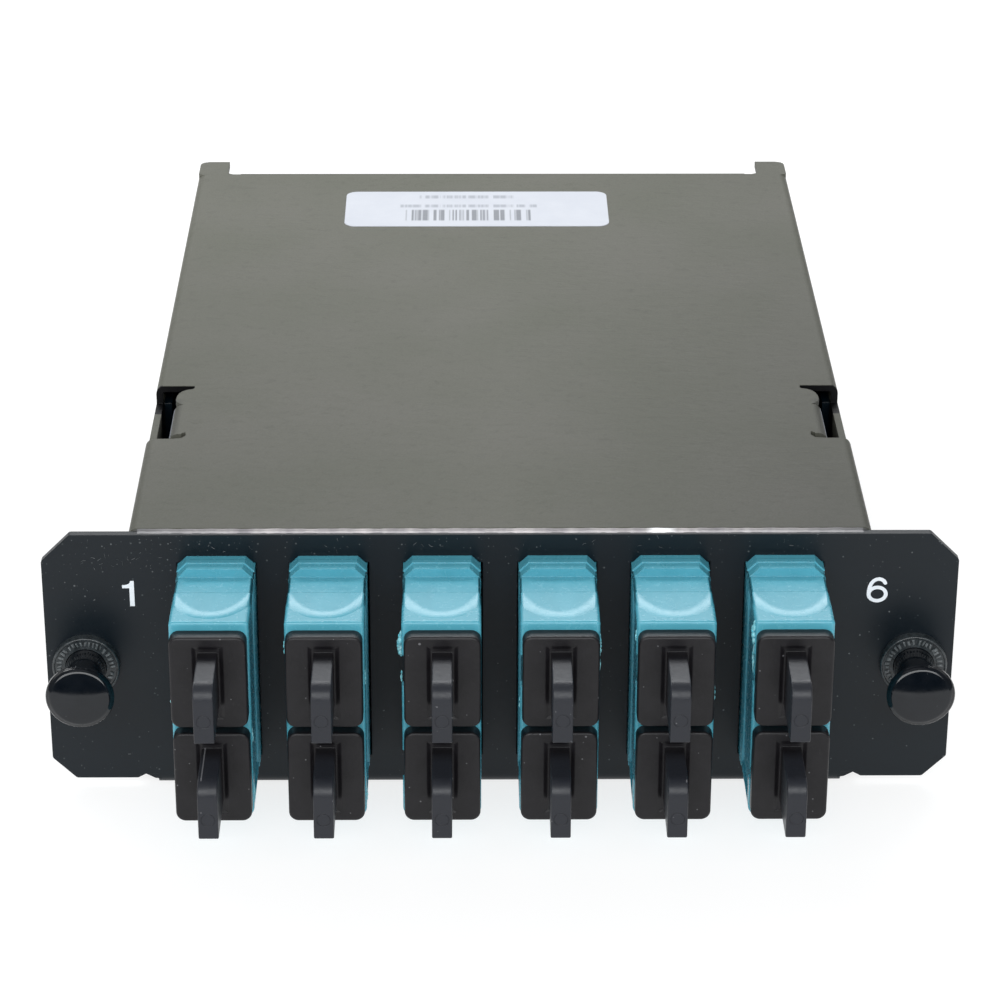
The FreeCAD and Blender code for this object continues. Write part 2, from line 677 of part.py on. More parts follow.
def make_clip(k):
    x = adapter_x[k]
    hw, hh = adp_wide / 2 - clip_seat + 0.01, adp_tall / 2 - clip_seat + 0.01
    band = box("band", (x - hw - clip_thick, x + hw + clip_thick), (2.2, 8.2),
               (adp_z - hh - clip_thick, adp_z + hh + clip_thick))
    inner = box("band_inner", (x - hw, x + hw), (1.2, 9.2), (adp_z - hh, adp_z + hh))
    ring = cut("band_ring", band, [inner])
    zt = hh + clip_thick
    tangs = []
    for s in (-1, 1):
        tangs.append(prism("tang", "YZ", [[
            (6.2, adp_z + s * (zt - 0.05)), (6.0, adp_z + s * (zt + 0.25)),
            (1.1, adp_z + s * (zt + 1.02)), (1.05, adp_z + s * (zt + 0.78)),
            (5.6, adp_z + s * (zt - 0.05))]], x - 2.5, x + 2.5))
    finish_piece(fuse("adapter_clip", [ring] + tangs), "adapter_clip_%d" % (k + 1))


cap_shift = {"upper": [-0.08, -0.05, 0.12, 0.09, 0.0, 0.03],
             "lower": [0.0, -0.03, 0.06, -0.01, -0.01, 0.0]}


def make_cap(k, row_name):
    x = adapter_x[k] + cap_shift[row_name][k]
    z = adp_z + (port_rise if row_name == "upper" else -port_rise)
    hw, hh = cap_wide / 2, cap_tall / 2
    face = -cap_back - cap_thick
    slab = box("slab", (x - hw, x + hw), (face, -cap_back), (z - cap_drop - hh, z - cap_drop + hh))
    slab = round_edges("slab_corners", slab, lambda e: (
        1.0 if span(e).YMax - span(e).YMin > 1 else 0), cap_corner.v)
    slab = round_edges("slab_edge", slab, lambda e: (
        1.0 if close(span(e).YMax, face.v) and close(span(e).YMin, face.v) else 0), 0.32)
    # the sunk panel round the fin, with sloped walls
    sink = doc.addObject("Part::Wedge", label("sink"))
    bind(sink, "Xmin", -(frame_half + 0.02))
    bind(sink, "Xmax", frame_half + 0.02)
    bind(sink, "Zmin", -frame_low)
    bind(sink, "Zmax", frame_high)
    bind(sink, "X2min", -(frame_half - 0.42))
    bind(sink, "X2max", frame_half - 0.42)
    bind(sink, "Z2min", -(frame_low - 0.3))
    bind(sink, "Z2max", frame_high - 0.45)
    bind(sink, "Ymin", -0.01)
    bind(sink, "Ymax", frame_deep)
    place(sink, x, face, z)
    slab = cut("slab_sunk", slab, [sink])
    fin = box("fin", (x - fin_wide / 2, x + fin_wide / 2), (-fin_front, face + frame_deep + 0.2),
              (z - fin_low, z + fin_high))
    fin = round_edges("fin_round", fin, lambda e: (
        fin_round.v if on_line(e, "X", {"Y": -fin_front.v, "Z": z.v + fin_high.v})
        else (0.3 if on_line(e, "X", {"Y": -fin_front.v, "Z": z.v - fin_low.v}) else 0)), 1.0)
    fin = round_edges("fin_edges", fin, lambda e: (
        1.0 if (span(e).ZMax - span(e).ZMin > 3 and close(span(e).YMin, -fin_front.v)
                and close(span(e).YMax, -fin_front.v)) else 0), 0.16)
    # ejector mark on the fin's front face
    mark_z = z - (0.5 if row_name == "upper" else 0.8)
    ring = cut("mark_ring", cyl("mark_out", "Y", mark_r, 0.25, x, -fin_front - 0.2, mark_z),
               [cyl("mark_in", "Y", mark_r - 0.11, 0.4, x, -fin_front - 0.25, mark_z)])
    fin = cut("fin_marked", fin, [ring])
    # hollow plug that sits in the port
    pw, ph = port_wide / 2 - 0.15, port_tall / 2 - 0.15
    plug = box("plug", (x - pw, x + pw), (-cap_back - 0.3, -8.3), (z - ph, z + ph))
    hollow = box("plug_hollow", (x - pw + 1.1, x + pw - 1.1), (-cap_back + 0.4, -8.0),
                 (z - ph + 1.1, z + ph - 1.1))
    plug = cut("plug_shell", plug, [hollow])
    finish_piece(fuse("dust_cap", [slab, fin, plug]), "dust_cap_%d_%s" % (k + 1, row_name))


def make_connector(k, row_name):
    x = adapter_x[k]
    z = adp_z + (port_rise if row_name == "upper" else -port_rise)
    pw, ph = plug_wide / 2, plug_tall / 2
    gw, gh = grip_wide / 2, grip_tall / 2
    nose = box("nose", (x - pw, x + pw), (0.0, grip_front + 0.2), (z - ph, z + ph))
    well = cyl("well", "Y", 2.75, 7.0, x, -1.0, z)
    grip = box("grip", (x - gw, x + gw), (grip_front, grip_back), (z - gh, z + gh))
    grip = round_edges("grip_round", grip, lambda e: (
        1.0 if span(e).YMax - span(e).YMin > 1 else 0), 1.0)
    nose = cut("nose_hollow", nose, [well])
    ferrule = cyl("ferrule", "Y", ferrule_r, 9.0, x, -1.55, z)
    boot = cone("boot", "Y", 3.0, 1.6, boot_back - grip_back + 0.5, x, grip_back - 0.5, z)
    whole = fuse("connector_blank", [nose, grip, ferrule, boot])
    hole = cyl("fibre_hole", "Y", fibre_r + 0.05, boot_back - 9.0, x, 10.0, z)
    finish_piece(cut("sc_connector", whole, [hole]), "sc_connector_%d_%s" % (k + 1, row_name))


for k in range(6):
    make_adapter(k)
for k in range(6):
    make_clip(k)
for k in range(6):
    for row_name in ("upper", "lower"):
        make_cap(k, row_name)
for k in range(6):
    for row_name in ("upper", "lower"):
        make_connector(k, row_name)

# split ceramic sleeves, one to a port
sleeves = []
for k in range(6):
    for s in (-1, 1):
        z = adp_z + s * port_rise
        tube = cut("sleeve", cyl("sleeve_out", "Y", sleeve_out_r, 11.4, adapter_x[k], -7.3, z),
                   [cyl("sleeve_in", "Y", sleeve_in_r, 12.4, adapter_x[k], -7.8, z),
                    box("sleeve_slit", (adapter_x[k] - 0.2, adapter_x[k] + 0.2), (-8.0, 5.0), (z, z + 3))])
        sleeves.append(tube)
sleeve_set = doc.addObject("Part::Compound", "sleeve_set")
sleeve_set.Links = sleeves
finish_piece(sleeve_set, "alignment_sleeves")

# ------------------------------------------------------------------- latches
for side, s in (("left", -1), ("right", 1)):
    x, z = s * latch_x, latch_z
    ring = cyl("ring", "Y", grom_r, grom_thick, x, -grom_thick, z)
    ring = round_edges("ring_edge", ring, lambda e: (
        1.0 if close(span(e).YMax, -grom_thick.v) else 0), 0.22)
    # a thinner neck in the plate's own hole, then the barrel that enters the panel
    neck = cyl("neck", "Y", neck_r, 1.6, x, -0.3, z)
    barrel = cyl("barrel", "Y", barrel_r, barrel_end - 1.0, x, 1.0, z)
    blank = fuse("grommet_blank", [ring, neck, barrel])
    bore = cyl("bore", "Y", bore_r, barrel_end + 4, x, -2.0, z)
    slit_a = box("slit_a", (x - 0.4, x + 0.4), (4.9, barrel_end + 1), (z - 4, z + 4))
    slit_b = box("slit_b", (x - 4, x + 4), (4.9, barrel_end + 1), (z - 0.4, z + 0.4))
    finish_piece(cut("grommet", blank, [bore, slit_a, slit_b]), "grommet_" + side)

    disc = cyl("disc", "Y", head_r, head_thick, x, -head_front, z)
    ball = doc.addObject("Part::Sphere", label("ball"))
    bind(ball, "Radius", dome_r)
    place(ball, x, dome_r - head_front, z)
    head = doc.addObject("Part::MultiCommon", label("head_dome"))
    head.Shapes = [disc, ball]
    head = round_edges("head_edge", head, lambda e: (
        0 if span(e).XMax - span(e).XMin < 1 else
        (0.24 if span(e).YMax > -head_front.v + 0.2 and span(e).YMax < -head_front.v + head_thick.v - 0.05 else 0.15)
        if abs(span(e).XMax - span(e).XMin - 2 * head_r.v) < 0.3 else 0), 1.0)
    shaft = cyl("shaft", "Y", shaft_r, shaft_end + head_front - 0.3, x, -head_front + 0.3, z)
    tip = round_edges("shaft_tip", shaft, lambda e: (
        1.0 if close(span(e).YMin, shaft_end.v) else 0), 0.6)
    finish_piece(fuse("plunger", [head, tip]), "plunger_" + side)

# ------------------------------------------------------------- rear adapter
x0 = Dim(0)
body_block = box("mpo_body", (-mpo_half_x, mpo_half_x), (mpo_front, mpo_back),
                 (mpo_z - mpo_half_z, mpo_z + mpo_half_z))
body_block = round_edges("mpo_round", body_block, lambda e: (
    1.0 if span(e).YMax - span(e).YMin > 1 else 0), 0.5)
collar = box("mpo_flange", (-10.5, 10.5), (tray_rear + 0.02, tray_rear + 2.0),
             (mpo_z - mpo_half_z - 0.3, mpo_z + mpo_half_z + 0.3))
collar = round_edges("mpo_flange_round", collar, lambda e: (
    1.0 if span(e).YMax - span(e).YMin > 1 else 0), 0.8)
hooks = []
for s in (-1, 1):
    hooks.append(prism("mpo_hook", "XY", [[
        (s * (mpo_half_x - 0.1), tray_rear - g - 0.05), (s * (mpo_half_x + 0.75), tray_rear - g - 0.05),
        (s * (mpo_half_x + 0.65), tray_rear - g - 0.5), (s * (mpo_half_x - 0.1), tray_rear - g - 4.0)]],
        mpo_z - 2, mpo_z + 2))
mpo_blank = fuse("mpo_blank", [body_block, collar] + hooks)
mpo_in = box("mpo_in", (-mpo_cav_x, mpo_cav_x), (mpo_front - 1, 116.2), (mpo_z - mpo_cav_z, mpo_z + mpo_cav_z))
mpo_out = box("mpo_out", (-mpo_cav_x, mpo_cav_x), (117.0, mpo_back + 1), (mpo_z - mpo_cav_z, mpo_z + mpo_cav_z))
mpo_win = box("mpo_window", (-3.6, 3.6), (116.0, 117.2), (mpo_z - 1.4, mpo_z + 1.4))
mpo_key = box("mpo_key", (-1.6, 1.6), (121.5, mpo_back + 1), (mpo_z, mpo_z + mpo_cav_z + 0.7))
finish_piece(cut("mpo_adapter", mpo_blank, [mpo_in, mpo_out, mpo_win, mpo_key]), "mpo_adapter")

plug_in = box("mpo_plug", (-mpo_cav_x + 0.1, mpo_cav_x - 0.1), (98.0, 116.1),
              (mpo_z - mpo_cav_z + 0.1, mpo_z + mpo_cav_z - 0.1))
plug_in = round_edges("mpo_plug_round", plug_in, lambda e: (
    1.0 if span(e).YMax - span(e).YMin > 1 else 0), 0.4)
mpo_boot = cone("mpo_boot", "Y", 2.4, 3.3, 6.5, 0, 92.0, mpo_z)
mpo_hole = cyl("mpo_hole", "Y", trunk_r + 0.05, 4.0, 0, 91.0, mpo_z)
finish_piece(cut("mpo_connector", fuse("mpo_plug_blank", [plug_in, mpo_boot]), [mpo_hole]), "mpo_connector")

cap_plug = box("mpo_cap_plug", (-mpo_cav_x + 0.15, mpo_cav_x - 0.15), (119.5, mpo_back + 0.5),
               (mpo_z - mpo_cav_z + 0.15, mpo_z + mpo_cav_z - 0.15))
cap_hollow = box("mpo_cap_hollow", (-mpo_cav_x + 1.3, mpo_cav_x - 1.3), (119.0, mpo_back - 0.5),
                 (mpo_z - mpo_cav_z + 1.3, mpo_z + mpo_cav_z - 1.3))
cap_head = box("mpo_cap_head", (-6.95, 6.95), (mpo_back + 0.05, mpo_back + 6.0), (mpo_z - 5.0, mpo_z + 5.0))
cap_head = round_edges("mpo_cap_round", cap_head, lambda e: 1.0, 0.8)
finish_piece(fuse("mpo_dust_cap", [cut("mpo_cap_shell", cap_plug, [cap_hollow]), cap_head]), "mpo_dust_cap")

# -------------------------------------------------------------- fan-out block
block = box("fan_block", (-fan_half, fan_half), (fan_front, fan_back), (g + 0.05, fan_top))
block = round_edges("fan_round", block, lambda e: (
    1.0 if span(e).YMax - span(e).YMin > 1 else 0), 0.8)
fan_x = [fan_pitch * (k - 2.5) for k in range(6)]
holes = [cyl("fan_hole", "Y", fibre_r + 0.05, 4.0, fx, fan_front - 0.5, fz)
         for fx in fan_x for fz in (fan_row_low, fan_row_high)]
holes.append(cyl("trunk_hole", "Y", trunk_r + 0.05, 3.5, 0, fan_back - 3.0, 5.3))
finish_piece(cut("fanout_block", block, holes), "fanout_block")


# ---------------------------------------------------- fibres inside the box
def s_route(p, q, lead, radius):
    """Line, arc, line, arc, line from p to q; both ends run along Y."""
    dx, dz = q[0] - p[0], q[2] - p[2]
    d = math.hypot(dx, dz)
    ux, uz = dx / d, dz / d
    run = q[1] - p[1] - 2 * lead
    lo, hi = 0.0, math.radians(89.0)
    for _ in range(80):
        t = (lo + hi) / 2
        straight = (run - 2 * radius * math.sin(t)) / math.cos(t)
        if 2 * radius * (1 - math.cos(t)) + straight * math.sin(t) < d:
            lo = t
        else:
            hi = t
    straight = (run - 2 * radius * math.sin(t)) / math.cos(t)
    if straight < 0.3:
        raise RuntimeError("route too tight")

    def at(along, side):
        return V(p[0] + ux * side, p[1] + along, p[2] + uz * side)

    def arc_one(a):
        return at(lead + radius * math.sin(a), radius * (1 - math.cos(a)))

    def arc_two(a):
        return at(lead + run - radius * math.sin(a), d - radius * (1 - math.cos(a)))

    edges = [Part.LineSegment(V(*p), arc_one(0)).toShape(),
             Part.Arc(arc_one(0), arc_one(t / 2), arc_one(t)).toShape(),
             Part.LineSegment(arc_one(t), arc_two(t)).toShape(),
             Part.Arc(arc_two(t), arc_two(t / 2), arc_two(0)).toShape(),
             Part.LineSegment(arc_two(0), V(*q)).toShape()]
    return Part.Wire(edges), math.degrees(t), straight


def tube(wire, start, r):
    ring = Part.Wire([Part.Circle(V(*start), V(0, 1, 0), r).toShape()])
    solid = wire.makePipeShell([ring], True, False)
    if solid.ShapeType != "Solid":
        solid = Part.Solid(Part.Shell(solid.Faces))
    want = math.pi * r * r * wire.Length
    if solid.Volume < 0:
        solid.reverse()
    if abs(solid.Volume - want) > 0.02 * want:
        raise RuntimeError("tube volume %.2f, wanted %.2f" % (solid.Volume, want))
    return solid


rf = fibre_r.v
fibres = []
for k in range(6):
    for s, fan_z in ((1, fan_row_high), (-1, fan_row_low)):
        p = (adapter_x[k].v, boot_back.v - 6.0, adp_z.v + s * port_rise.v)
        q = (fan_x[k].v, fan_front.v + 3.0, fan_z.v)
        wire, turn, straight = s_route(p, q, 7.0, 8.0)
        fibres.append(tube(wire, p, rf))
        print("fibre %d %+d: length %.1f, turn %.0f deg, arc radius 8.0, middle run %.1f"
              % (k + 1, s, wire.Length, turn, straight))
harness = doc.addObject("Part::Feature", "fibre_harness_shape")
harness.Shape = Part.makeCompound(fibres)
finish_piece(harness, "fibre_harness")

wire, turn, straight = s_route((0.0, fan_back.v - 2.5, 5.3), (0.0, 94.5, mpo_z.v), 2.8, 6.0)
print("trunk: length %.1f, turn %.0f deg, arc radius 6.0, middle run %.1f" % (wire.Length, turn, straight))
trunk = doc.addObject("Part::Feature", "trunk_cable_shape")
trunk.Shape = tube(wire, (0.0, fan_back.v - 2.5, 5.3), trunk_r.v)
finish_piece(trunk, "trunk_cable")

# ------------------------------------------------------------ check and write
doc.recompute()
for o in doc.Objects:
    if "Invalid" in o.State or "Error" in o.State:
        raise RuntimeError("%s (%s) failed: %s" % (o.Name, o.Label, o.State))
for node, obj in pieces:
    shape = obj.Shape
    if shape.isNull() or not shape.isValid():
        raise RuntimeError("bad shape: " + node)
    if not shape.Solids:
        raise RuntimeError("no solid: " + node)
for node, obj in pieces:
    obj.Shape.exportStep("parts/%s.step" % node)
    bb = obj.Shape.BoundBox
    print("%-24s solids %2d  volume %9.2f  X %8.2f %8.2f  Y %8.2f %8.2f  Z %8.2f %8.2f" % (
        node, len(obj.Shape.Solids), obj.Shape.Volume,
        bb.XMin, bb.XMax, bb.YMin, bb.YMax, bb.ZMin, bb.ZMax))
print("%d pieces" % len(pieces))
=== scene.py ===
import math
import random

import bpy
import bmesh
from mathutils import Matrix, Vector


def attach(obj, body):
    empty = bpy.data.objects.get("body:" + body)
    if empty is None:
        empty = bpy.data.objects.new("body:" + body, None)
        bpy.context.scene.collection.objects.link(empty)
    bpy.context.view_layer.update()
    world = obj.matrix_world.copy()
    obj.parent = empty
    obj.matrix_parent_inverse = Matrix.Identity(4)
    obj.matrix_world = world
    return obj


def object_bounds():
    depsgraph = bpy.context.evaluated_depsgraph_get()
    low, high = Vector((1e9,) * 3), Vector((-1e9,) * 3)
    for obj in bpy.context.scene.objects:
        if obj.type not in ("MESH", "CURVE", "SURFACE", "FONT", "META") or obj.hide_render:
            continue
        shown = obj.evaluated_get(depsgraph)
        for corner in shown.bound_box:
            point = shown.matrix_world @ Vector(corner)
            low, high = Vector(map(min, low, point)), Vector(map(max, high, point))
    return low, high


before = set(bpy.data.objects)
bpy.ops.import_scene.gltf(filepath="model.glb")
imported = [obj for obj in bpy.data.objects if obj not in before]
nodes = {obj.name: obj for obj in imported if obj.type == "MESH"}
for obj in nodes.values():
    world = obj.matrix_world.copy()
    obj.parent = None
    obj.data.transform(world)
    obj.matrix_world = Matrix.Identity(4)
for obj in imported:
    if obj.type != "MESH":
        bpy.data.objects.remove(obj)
cad_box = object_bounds()
scene = bpy.context.scene
MM = 0.001


# ---------------------------------------------------------------- node helpers
class Graph:
    """One material. Lengths inside it are millimetres of the object's own frame."""

    def __init__(self, name, metallic=0.0, ior=1.5, spec=0.5, coat=0.0, coat_rough=0.1):
        self.mat = bpy.data.materials.new(name)
        self.mat.use_nodes = True
        self.tree = self.mat.node_tree
        self.tree.nodes.clear()
        out = self.new("ShaderNodeOutputMaterial")
        self.bsdf = self.new("ShaderNodeBsdfPrincipled")
        self.link(self.bsdf.outputs["BSDF"], out.inputs["Surface"])
        self.bsdf.inputs["Metallic"].default_value = metallic
        self.bsdf.inputs["IOR"].default_value = ior
        self.bsdf.inputs["Specular IOR Level"].default_value = spec
        self.bsdf.inputs["Coat Weight"].default_value = coat
        self.bsdf.inputs["Coat Roughness"].default_value = coat_rough
        where = self.new("ShaderNodeTexCoord")
        self.mm = self.vector("SCALE", where.outputs["Object"], scale=1000.0)
        apart = self.new("ShaderNodeSeparateXYZ")
        self.link(self.mm, apart.inputs[0])
        self.x, self.y, self.z = apart.outputs[0], apart.outputs[1], apart.outputs[2]

    def new(self, kind):
        return self.tree.nodes.new(kind)

    def link(self, a, b):
        self.tree.links.new(a, b)

    def put(self, socket, value):
        if isinstance(value, bpy.types.NodeSocket):
            self.link(value, socket)
        else:
            socket.default_value = value

    def vector(self, op, a, b=None, scale=None):
        n = self.new("ShaderNodeVectorMath")
        n.operation = op
        self.put(n.inputs[0], a)
        if b is not None:
            self.put(n.inputs[1], b)
        if scale is not None:
            n.inputs["Scale"].default_value = scale
        return n.outputs["Value"] if op in ("DOT_PRODUCT", "LENGTH", "DISTANCE") else n.outputs["Vector"]

    def math(self, op, a, b=0.0, c=0.0, clamp=False):
        n = self.new("ShaderNodeMath")
        n.operation = op
        n.use_clamp = clamp
        self.put(n.inputs[0], a)
        self.put(n.inputs[1], b)
        if op in ("MULTIPLY_ADD", "COMPARE", "WRAP", "SMOOTH_MIN", "SMOOTH_MAX"):
            self.put(n.inputs[2], c)
        return n.outputs[0]

    def noise(self, scale, detail=2.0, rough=0.5, distortion=0.0, at=None, offset=(0, 0, 0), stretch=(1, 1, 1)):
        m = self.new("ShaderNodeMapping")
        self.put(m.inputs["Vector"], self.mm if at is None else at)
        m.inputs["Location"].default_value = offset
        m.inputs["Scale"].default_value = stretch
        n = self.new("ShaderNodeTexNoise")
        self.link(m.outputs[0], n.inputs["Vector"])
        n.inputs["Scale"].default_value = scale
        n.inputs["Detail"].default_value = detail
        n.inputs["Roughness"].default_value = rough
        n.inputs["Distortion"].default_value = distortion
        return n.outputs["Fac"]

    def cells(self, scale, at=None, flat=False, feature="F1", randomness=1.0, offset=(0, 0, 0), turn=0.0, stretch=(1, 1, 1)):
        m = self.new("ShaderNodeMapping")
        self.put(m.inputs["Vector"], self.mm if at is None else at)
        m.inputs["Location"].default_value = offset
        m.inputs["Rotation"].default_value = (0, 0, turn)
        m.inputs["Scale"].default_value = stretch
        n = self.new("ShaderNodeTexVoronoi")
        n.voronoi_dimensions = "2D" if flat else "3D"
        n.feature = feature
        self.link(m.outputs[0], n.inputs["Vector"])
        n.inputs["Scale"].default_value = scale
        n.inputs["Randomness"].default_value = randomness
        return n.outputs["Distance"], n.outputs["Color"]

    def split(self, colour):
        n = self.new("ShaderNodeSeparateColor")
        self.link(colour, n.inputs[0])
        return n.outputs[0], n.outputs[1], n.outputs[2]

    def span(self, value, a, b, low=0.0, high=1.0, smooth=False):
        n = self.new("ShaderNodeMapRange")
        n.clamp = True
        n.interpolation_type = "SMOOTHSTEP" if smooth else "LINEAR"
        self.put(n.inputs["Value"], value)
        n.inputs["From Min"].default_value = a
        n.inputs["From Max"].default_value = b
        n.inputs["To Min"].default_value = low
        n.inputs["To Max"].default_value = high
        return n.outputs["Result"]

    def band(self, value, a, b, soft):
        """1 between a and b, falling to 0 over soft on each side."""
        up = self.span(value, a - soft, a + soft)
        down = self.span(value, b - soft, b + soft, 1.0, 0.0)
        return self.math("MULTIPLY", up, down)

    def times(self, *values):
        out = values[0]
        for v in values[1:]:
            out = self.math("MULTIPLY", out, v)
        return out

    def mix(self, fac, a, b):
        n = self.new("ShaderNodeMix")
        n.data_type = "RGBA"
        self.put(n.inputs[0], fac)
        self.put(n.inputs[6], a if isinstance(a, bpy.types.NodeSocket) else (*a, 1.0))
        self.put(n.inputs[7], b if isinstance(b, bpy.types.NodeSocket) else (*b, 1.0))
        return n.outputs[2]

    def bevel(self, radius_mm, samples=4):
        n = self.new("ShaderNodeBevel")
        n.samples = samples
        n.inputs["Radius"].default_value = radius_mm * MM
        return n.outputs[0]

    def bump(self, height, deep_mm, strength=1.0, normal=None):
        n = self.new("ShaderNodeBump")
        n.inputs["Strength"].default_value = strength
        n.inputs["Distance"].default_value = deep_mm * MM
        self.link(height, n.inputs["Height"])
        if normal is not None:
            self.link(normal, n.inputs["Normal"])
        return n.outputs[0]

    def flat(self, a, b):
        n = self.new("ShaderNodeCombineXYZ")
        self.put(n.inputs[0], a)
        self.put(n.inputs[1], b)
        return n.outputs[0]

    def done(self, colour=None, rough=None, normal=None):
        if colour is not None:
            self.put(self.bsdf.inputs["Base Color"], colour)
        if rough is not None:
            self.put(self.bsdf.inputs["Roughness"], rough)
        if normal is not None:
            self.link(normal, self.bsdf.inputs["Normal"])
        return self.mat


def specks(g, at, cell, size, share, seed, where=None):
    """Small round specks: about one cell in 1/share holds one, up to size mm across."""
    d, c = g.cells(1.0 / cell, at=at, flat=True, offset=(seed * 7.3, seed * 3.1, 0))
    here, big, _ = g.split(c)
    keep = g.math("LESS_THAN", here, share if where is None else g.math("MULTIPLY", where, share))
    radius = g.span(big, 0.0, 1.0, size / cell * 0.22, size / cell * 0.5)
    edge = g.math("SUBTRACT", radius, d)
    return g.math("MULTIPLY", keep, g.span(edge, 0.0, size / cell * 0.12))


# ------------------------------------------------------------------- materials
def powder(name, base, warm, spec):
    g = Graph(name, ior=1.5, spec=spec)
    peel = g.noise(0.85, 2.0, 0.5, 0.3, stretch=(0.75, 1.0, 1.0))
    grain = g.noise(3.4, 2.0, 0.6, offset=(4, 9, 2))
    patch = g.noise(0.045, 2.0, 0.5, offset=(11, 3, 7))
    colour = g.mix(g.span(patch, 0.35, 0.65), base, warm)
    pits = g.span(g.noise(0.9, 3.0, 0.65, 0.6, offset=(2, 5, 1), stretch=(0.7, 1.0, 1.0)), 0.54, 0.72)
    dark = tuple(v * 0.74 for v in base)
    colour = g.mix(g.math("MULTIPLY", pits, 0.5), colour, dark)
    return g, peel, grain, colour


def tray_material():
    g, peel, grain, colour = powder("tray_paint", (0.0003, 0.0034, 0.0066), (0.0008, 0.0042, 0.0074), 0.32)
    face = g.span(g.y, -0.93, -0.98)
    at = g.flat(g.x, g.z)
    # dust lies thicker in the upper left and along the top of the plate
    drift = g.noise(0.09, 2.0, 0.5, at=at, offset=(3, 1, 0))
    top = g.span(g.z, 8.0, 15.5, 0.22, 1.0)
    left = g.span(g.x, -30.0, -46.0, 0.55, 1.0)
    where = g.times(g.span(drift, 0.32, 0.62, 0.25, 1.0), top, left)
    s1 = specks(g, at, 1.15, 0.27, 0.55, 1, where)
    s2 = specks(g, at, 2.3, 0.22, 0.26, 2)
    s3 = specks(g, at, 0.7, 0.13, 0.45, 3, where)
    spots = g.math("MULTIPLY", face, g.math("MAXIMUM", g.math("MAXIMUM", s1, s2), s3), clamp=True)
    tone = g.noise(0.8, 1.0, 0.5, offset=(8, 8, 8))
    spot_colour = g.mix(g.span(tone, 0.35, 0.65), (0.030, 0.036, 0.039), (0.11, 0.118, 0.122))
    colour = g.mix(g.math("MULTIPLY", spots, 0.85), colour, spot_colour)
    # the cut top edge of the plate: a painted highlight line along its rear half, pale and blotchy, with a near-white
    # painted glint
    edge = g.times(g.span(g.z, 17.30, 17.42), g.span(g.y, -0.62, -0.40), g.span(g.math("ABSOLUTE", g.x), 43.6, 42.6))
    colour = g.mix(edge, colour, painted_seam_highlight(g))
    rough = g.math("ADD", g.span(grain, 0.3, 0.7, 0.34, 0.43), g.math("MULTIPLY", spots, 0.3))
    normal = g.bevel(0.16)
    normal = g.bump(peel, 0.016, 0.5, normal)
    normal = g.bump(grain, 0.006, 0.5, normal)
    return g.done(colour, rough, normal)


def painted_seam_highlight(g):
    """Painted highlight along the seam between plate and cover: blotchy pale bands with a near-white painted glint,
    greyer towards the ends.
    """
    highlight_blotch = g.noise(0.21, 3.0, 0.65, at=g.flat(g.x, g.math("MULTIPLY", g.y, 0.3)), offset=(5, 0, 0))
    seam_highlight_tone = g.mix(g.span(highlight_blotch, 0.36, 0.64), (0.20, 0.19, 0.20), (0.46, 0.43, 0.43))
    # painted glint: a near-white patch on the painted highlight
    painted_glint = g.band(g.x, 17.7, 20.6, 0.5)
    seam_highlight_tone = g.mix(painted_glint, seam_highlight_tone, (0.86, 0.86, 0.86))
    side = g.span(g.math("ABSOLUTE", g.x), 44.0, 30.0, 0.0, 1.0)
    return g.mix(side, (0.13, 0.13, 0.135), seam_highlight_tone)


def cover_material():
    # the coat's dark grey is partly its own colour and partly painted sheen, for the light its top catches at a grazing
    # angle
    g, peel, grain, colour = powder("cover_paint", (0.1100, 0.1122, 0.0885), (0.1230, 0.1218, 0.1015), 0.18)
    # painted light and shade: the coat is made darker towards the front and the right, standing in for the sheen that
    # grows towards the rear and the light from the left
    far = g.span(g.y, 0.0, 105.0)
    left = g.times(g.span(g.x, 0.0, -40.0), g.math("SUBTRACT", 1.0, far), 0.12)
    right = g.math("MULTIPLY", g.span(g.x, 0.0, 40.0), g.math("SUBTRACT", 0.33, g.math("MULTIPLY", far, 0.19)))
    tone = g.math("SUBTRACT", g.math("SUBTRACT", 1.0, left), right)
    tone = g.math("MULTIPLY", tone, g.span(g.y, 0.0, 105.0, 0.71, 1.0))
    colour = g.mix(tone, (0.0, 0.0, 0.0), colour)
    away = g.math("ABSOLUTE", g.x)
    # painted shade: the cut faces at the rear of the notches are painted near-black
    notch_shade = g.times(g.band(g.y, 37.6, 41.3, 0.05), g.span(g.z, 17.72, 17.68), g.span(away, 38.6, 38.9))
    colour = g.mix(notch_shade, colour, (0.0015, 0.0015, 0.002))
    # the bent tabs: painted shade over the bend, and a painted pale-blue reflection along the outside
    strip = g.band(g.y, 26.4, 36.8, 0.3)
    painted_bend_shade = g.times(strip, g.span(away, 40.3, 41.0), g.span(away, 41.9, 41.6), g.span(g.z, 14.0, 15.0))
    colour = g.mix(g.math("MULTIPLY", painted_bend_shade, 0.35), colour, (0.02, 0.02, 0.022))
    painted_tab_reflection = g.times(strip, g.span(away, 41.40, 41.58), g.span(away, 41.9, 41.8))
    colour = g.mix(g.math("MULTIPLY", painted_tab_reflection, 0.75), colour, (0.30, 0.33, 0.40))
    # painted highlight: the cover's front lip takes the pale seam highlight colour
    lip = g.times(g.span(g.y, 0.45, 0.25), g.span(g.z, 15.8, 16.4), g.span(g.z, 17.66, 17.58), g.span(away, 43.9, 43.0))
    colour = g.mix(lip, colour, painted_seam_highlight(g))
    rough = g.span(grain, 0.3, 0.7, 0.44, 0.55)
    normal = g.bevel(0.18)
    streak = g.noise(0.62, 2.0, 0.5, 0.5, offset=(6, 2, 9), stretch=(0.45, 1.0, 1.0))
    normal = g.bump(streak, 0.075, 0.7, normal)
    normal = g.bump(peel, 0.030, 0.65, normal)
    normal = g.bump(grain, 0.007, 0.5, normal)
    return g.done(colour, rough, normal)


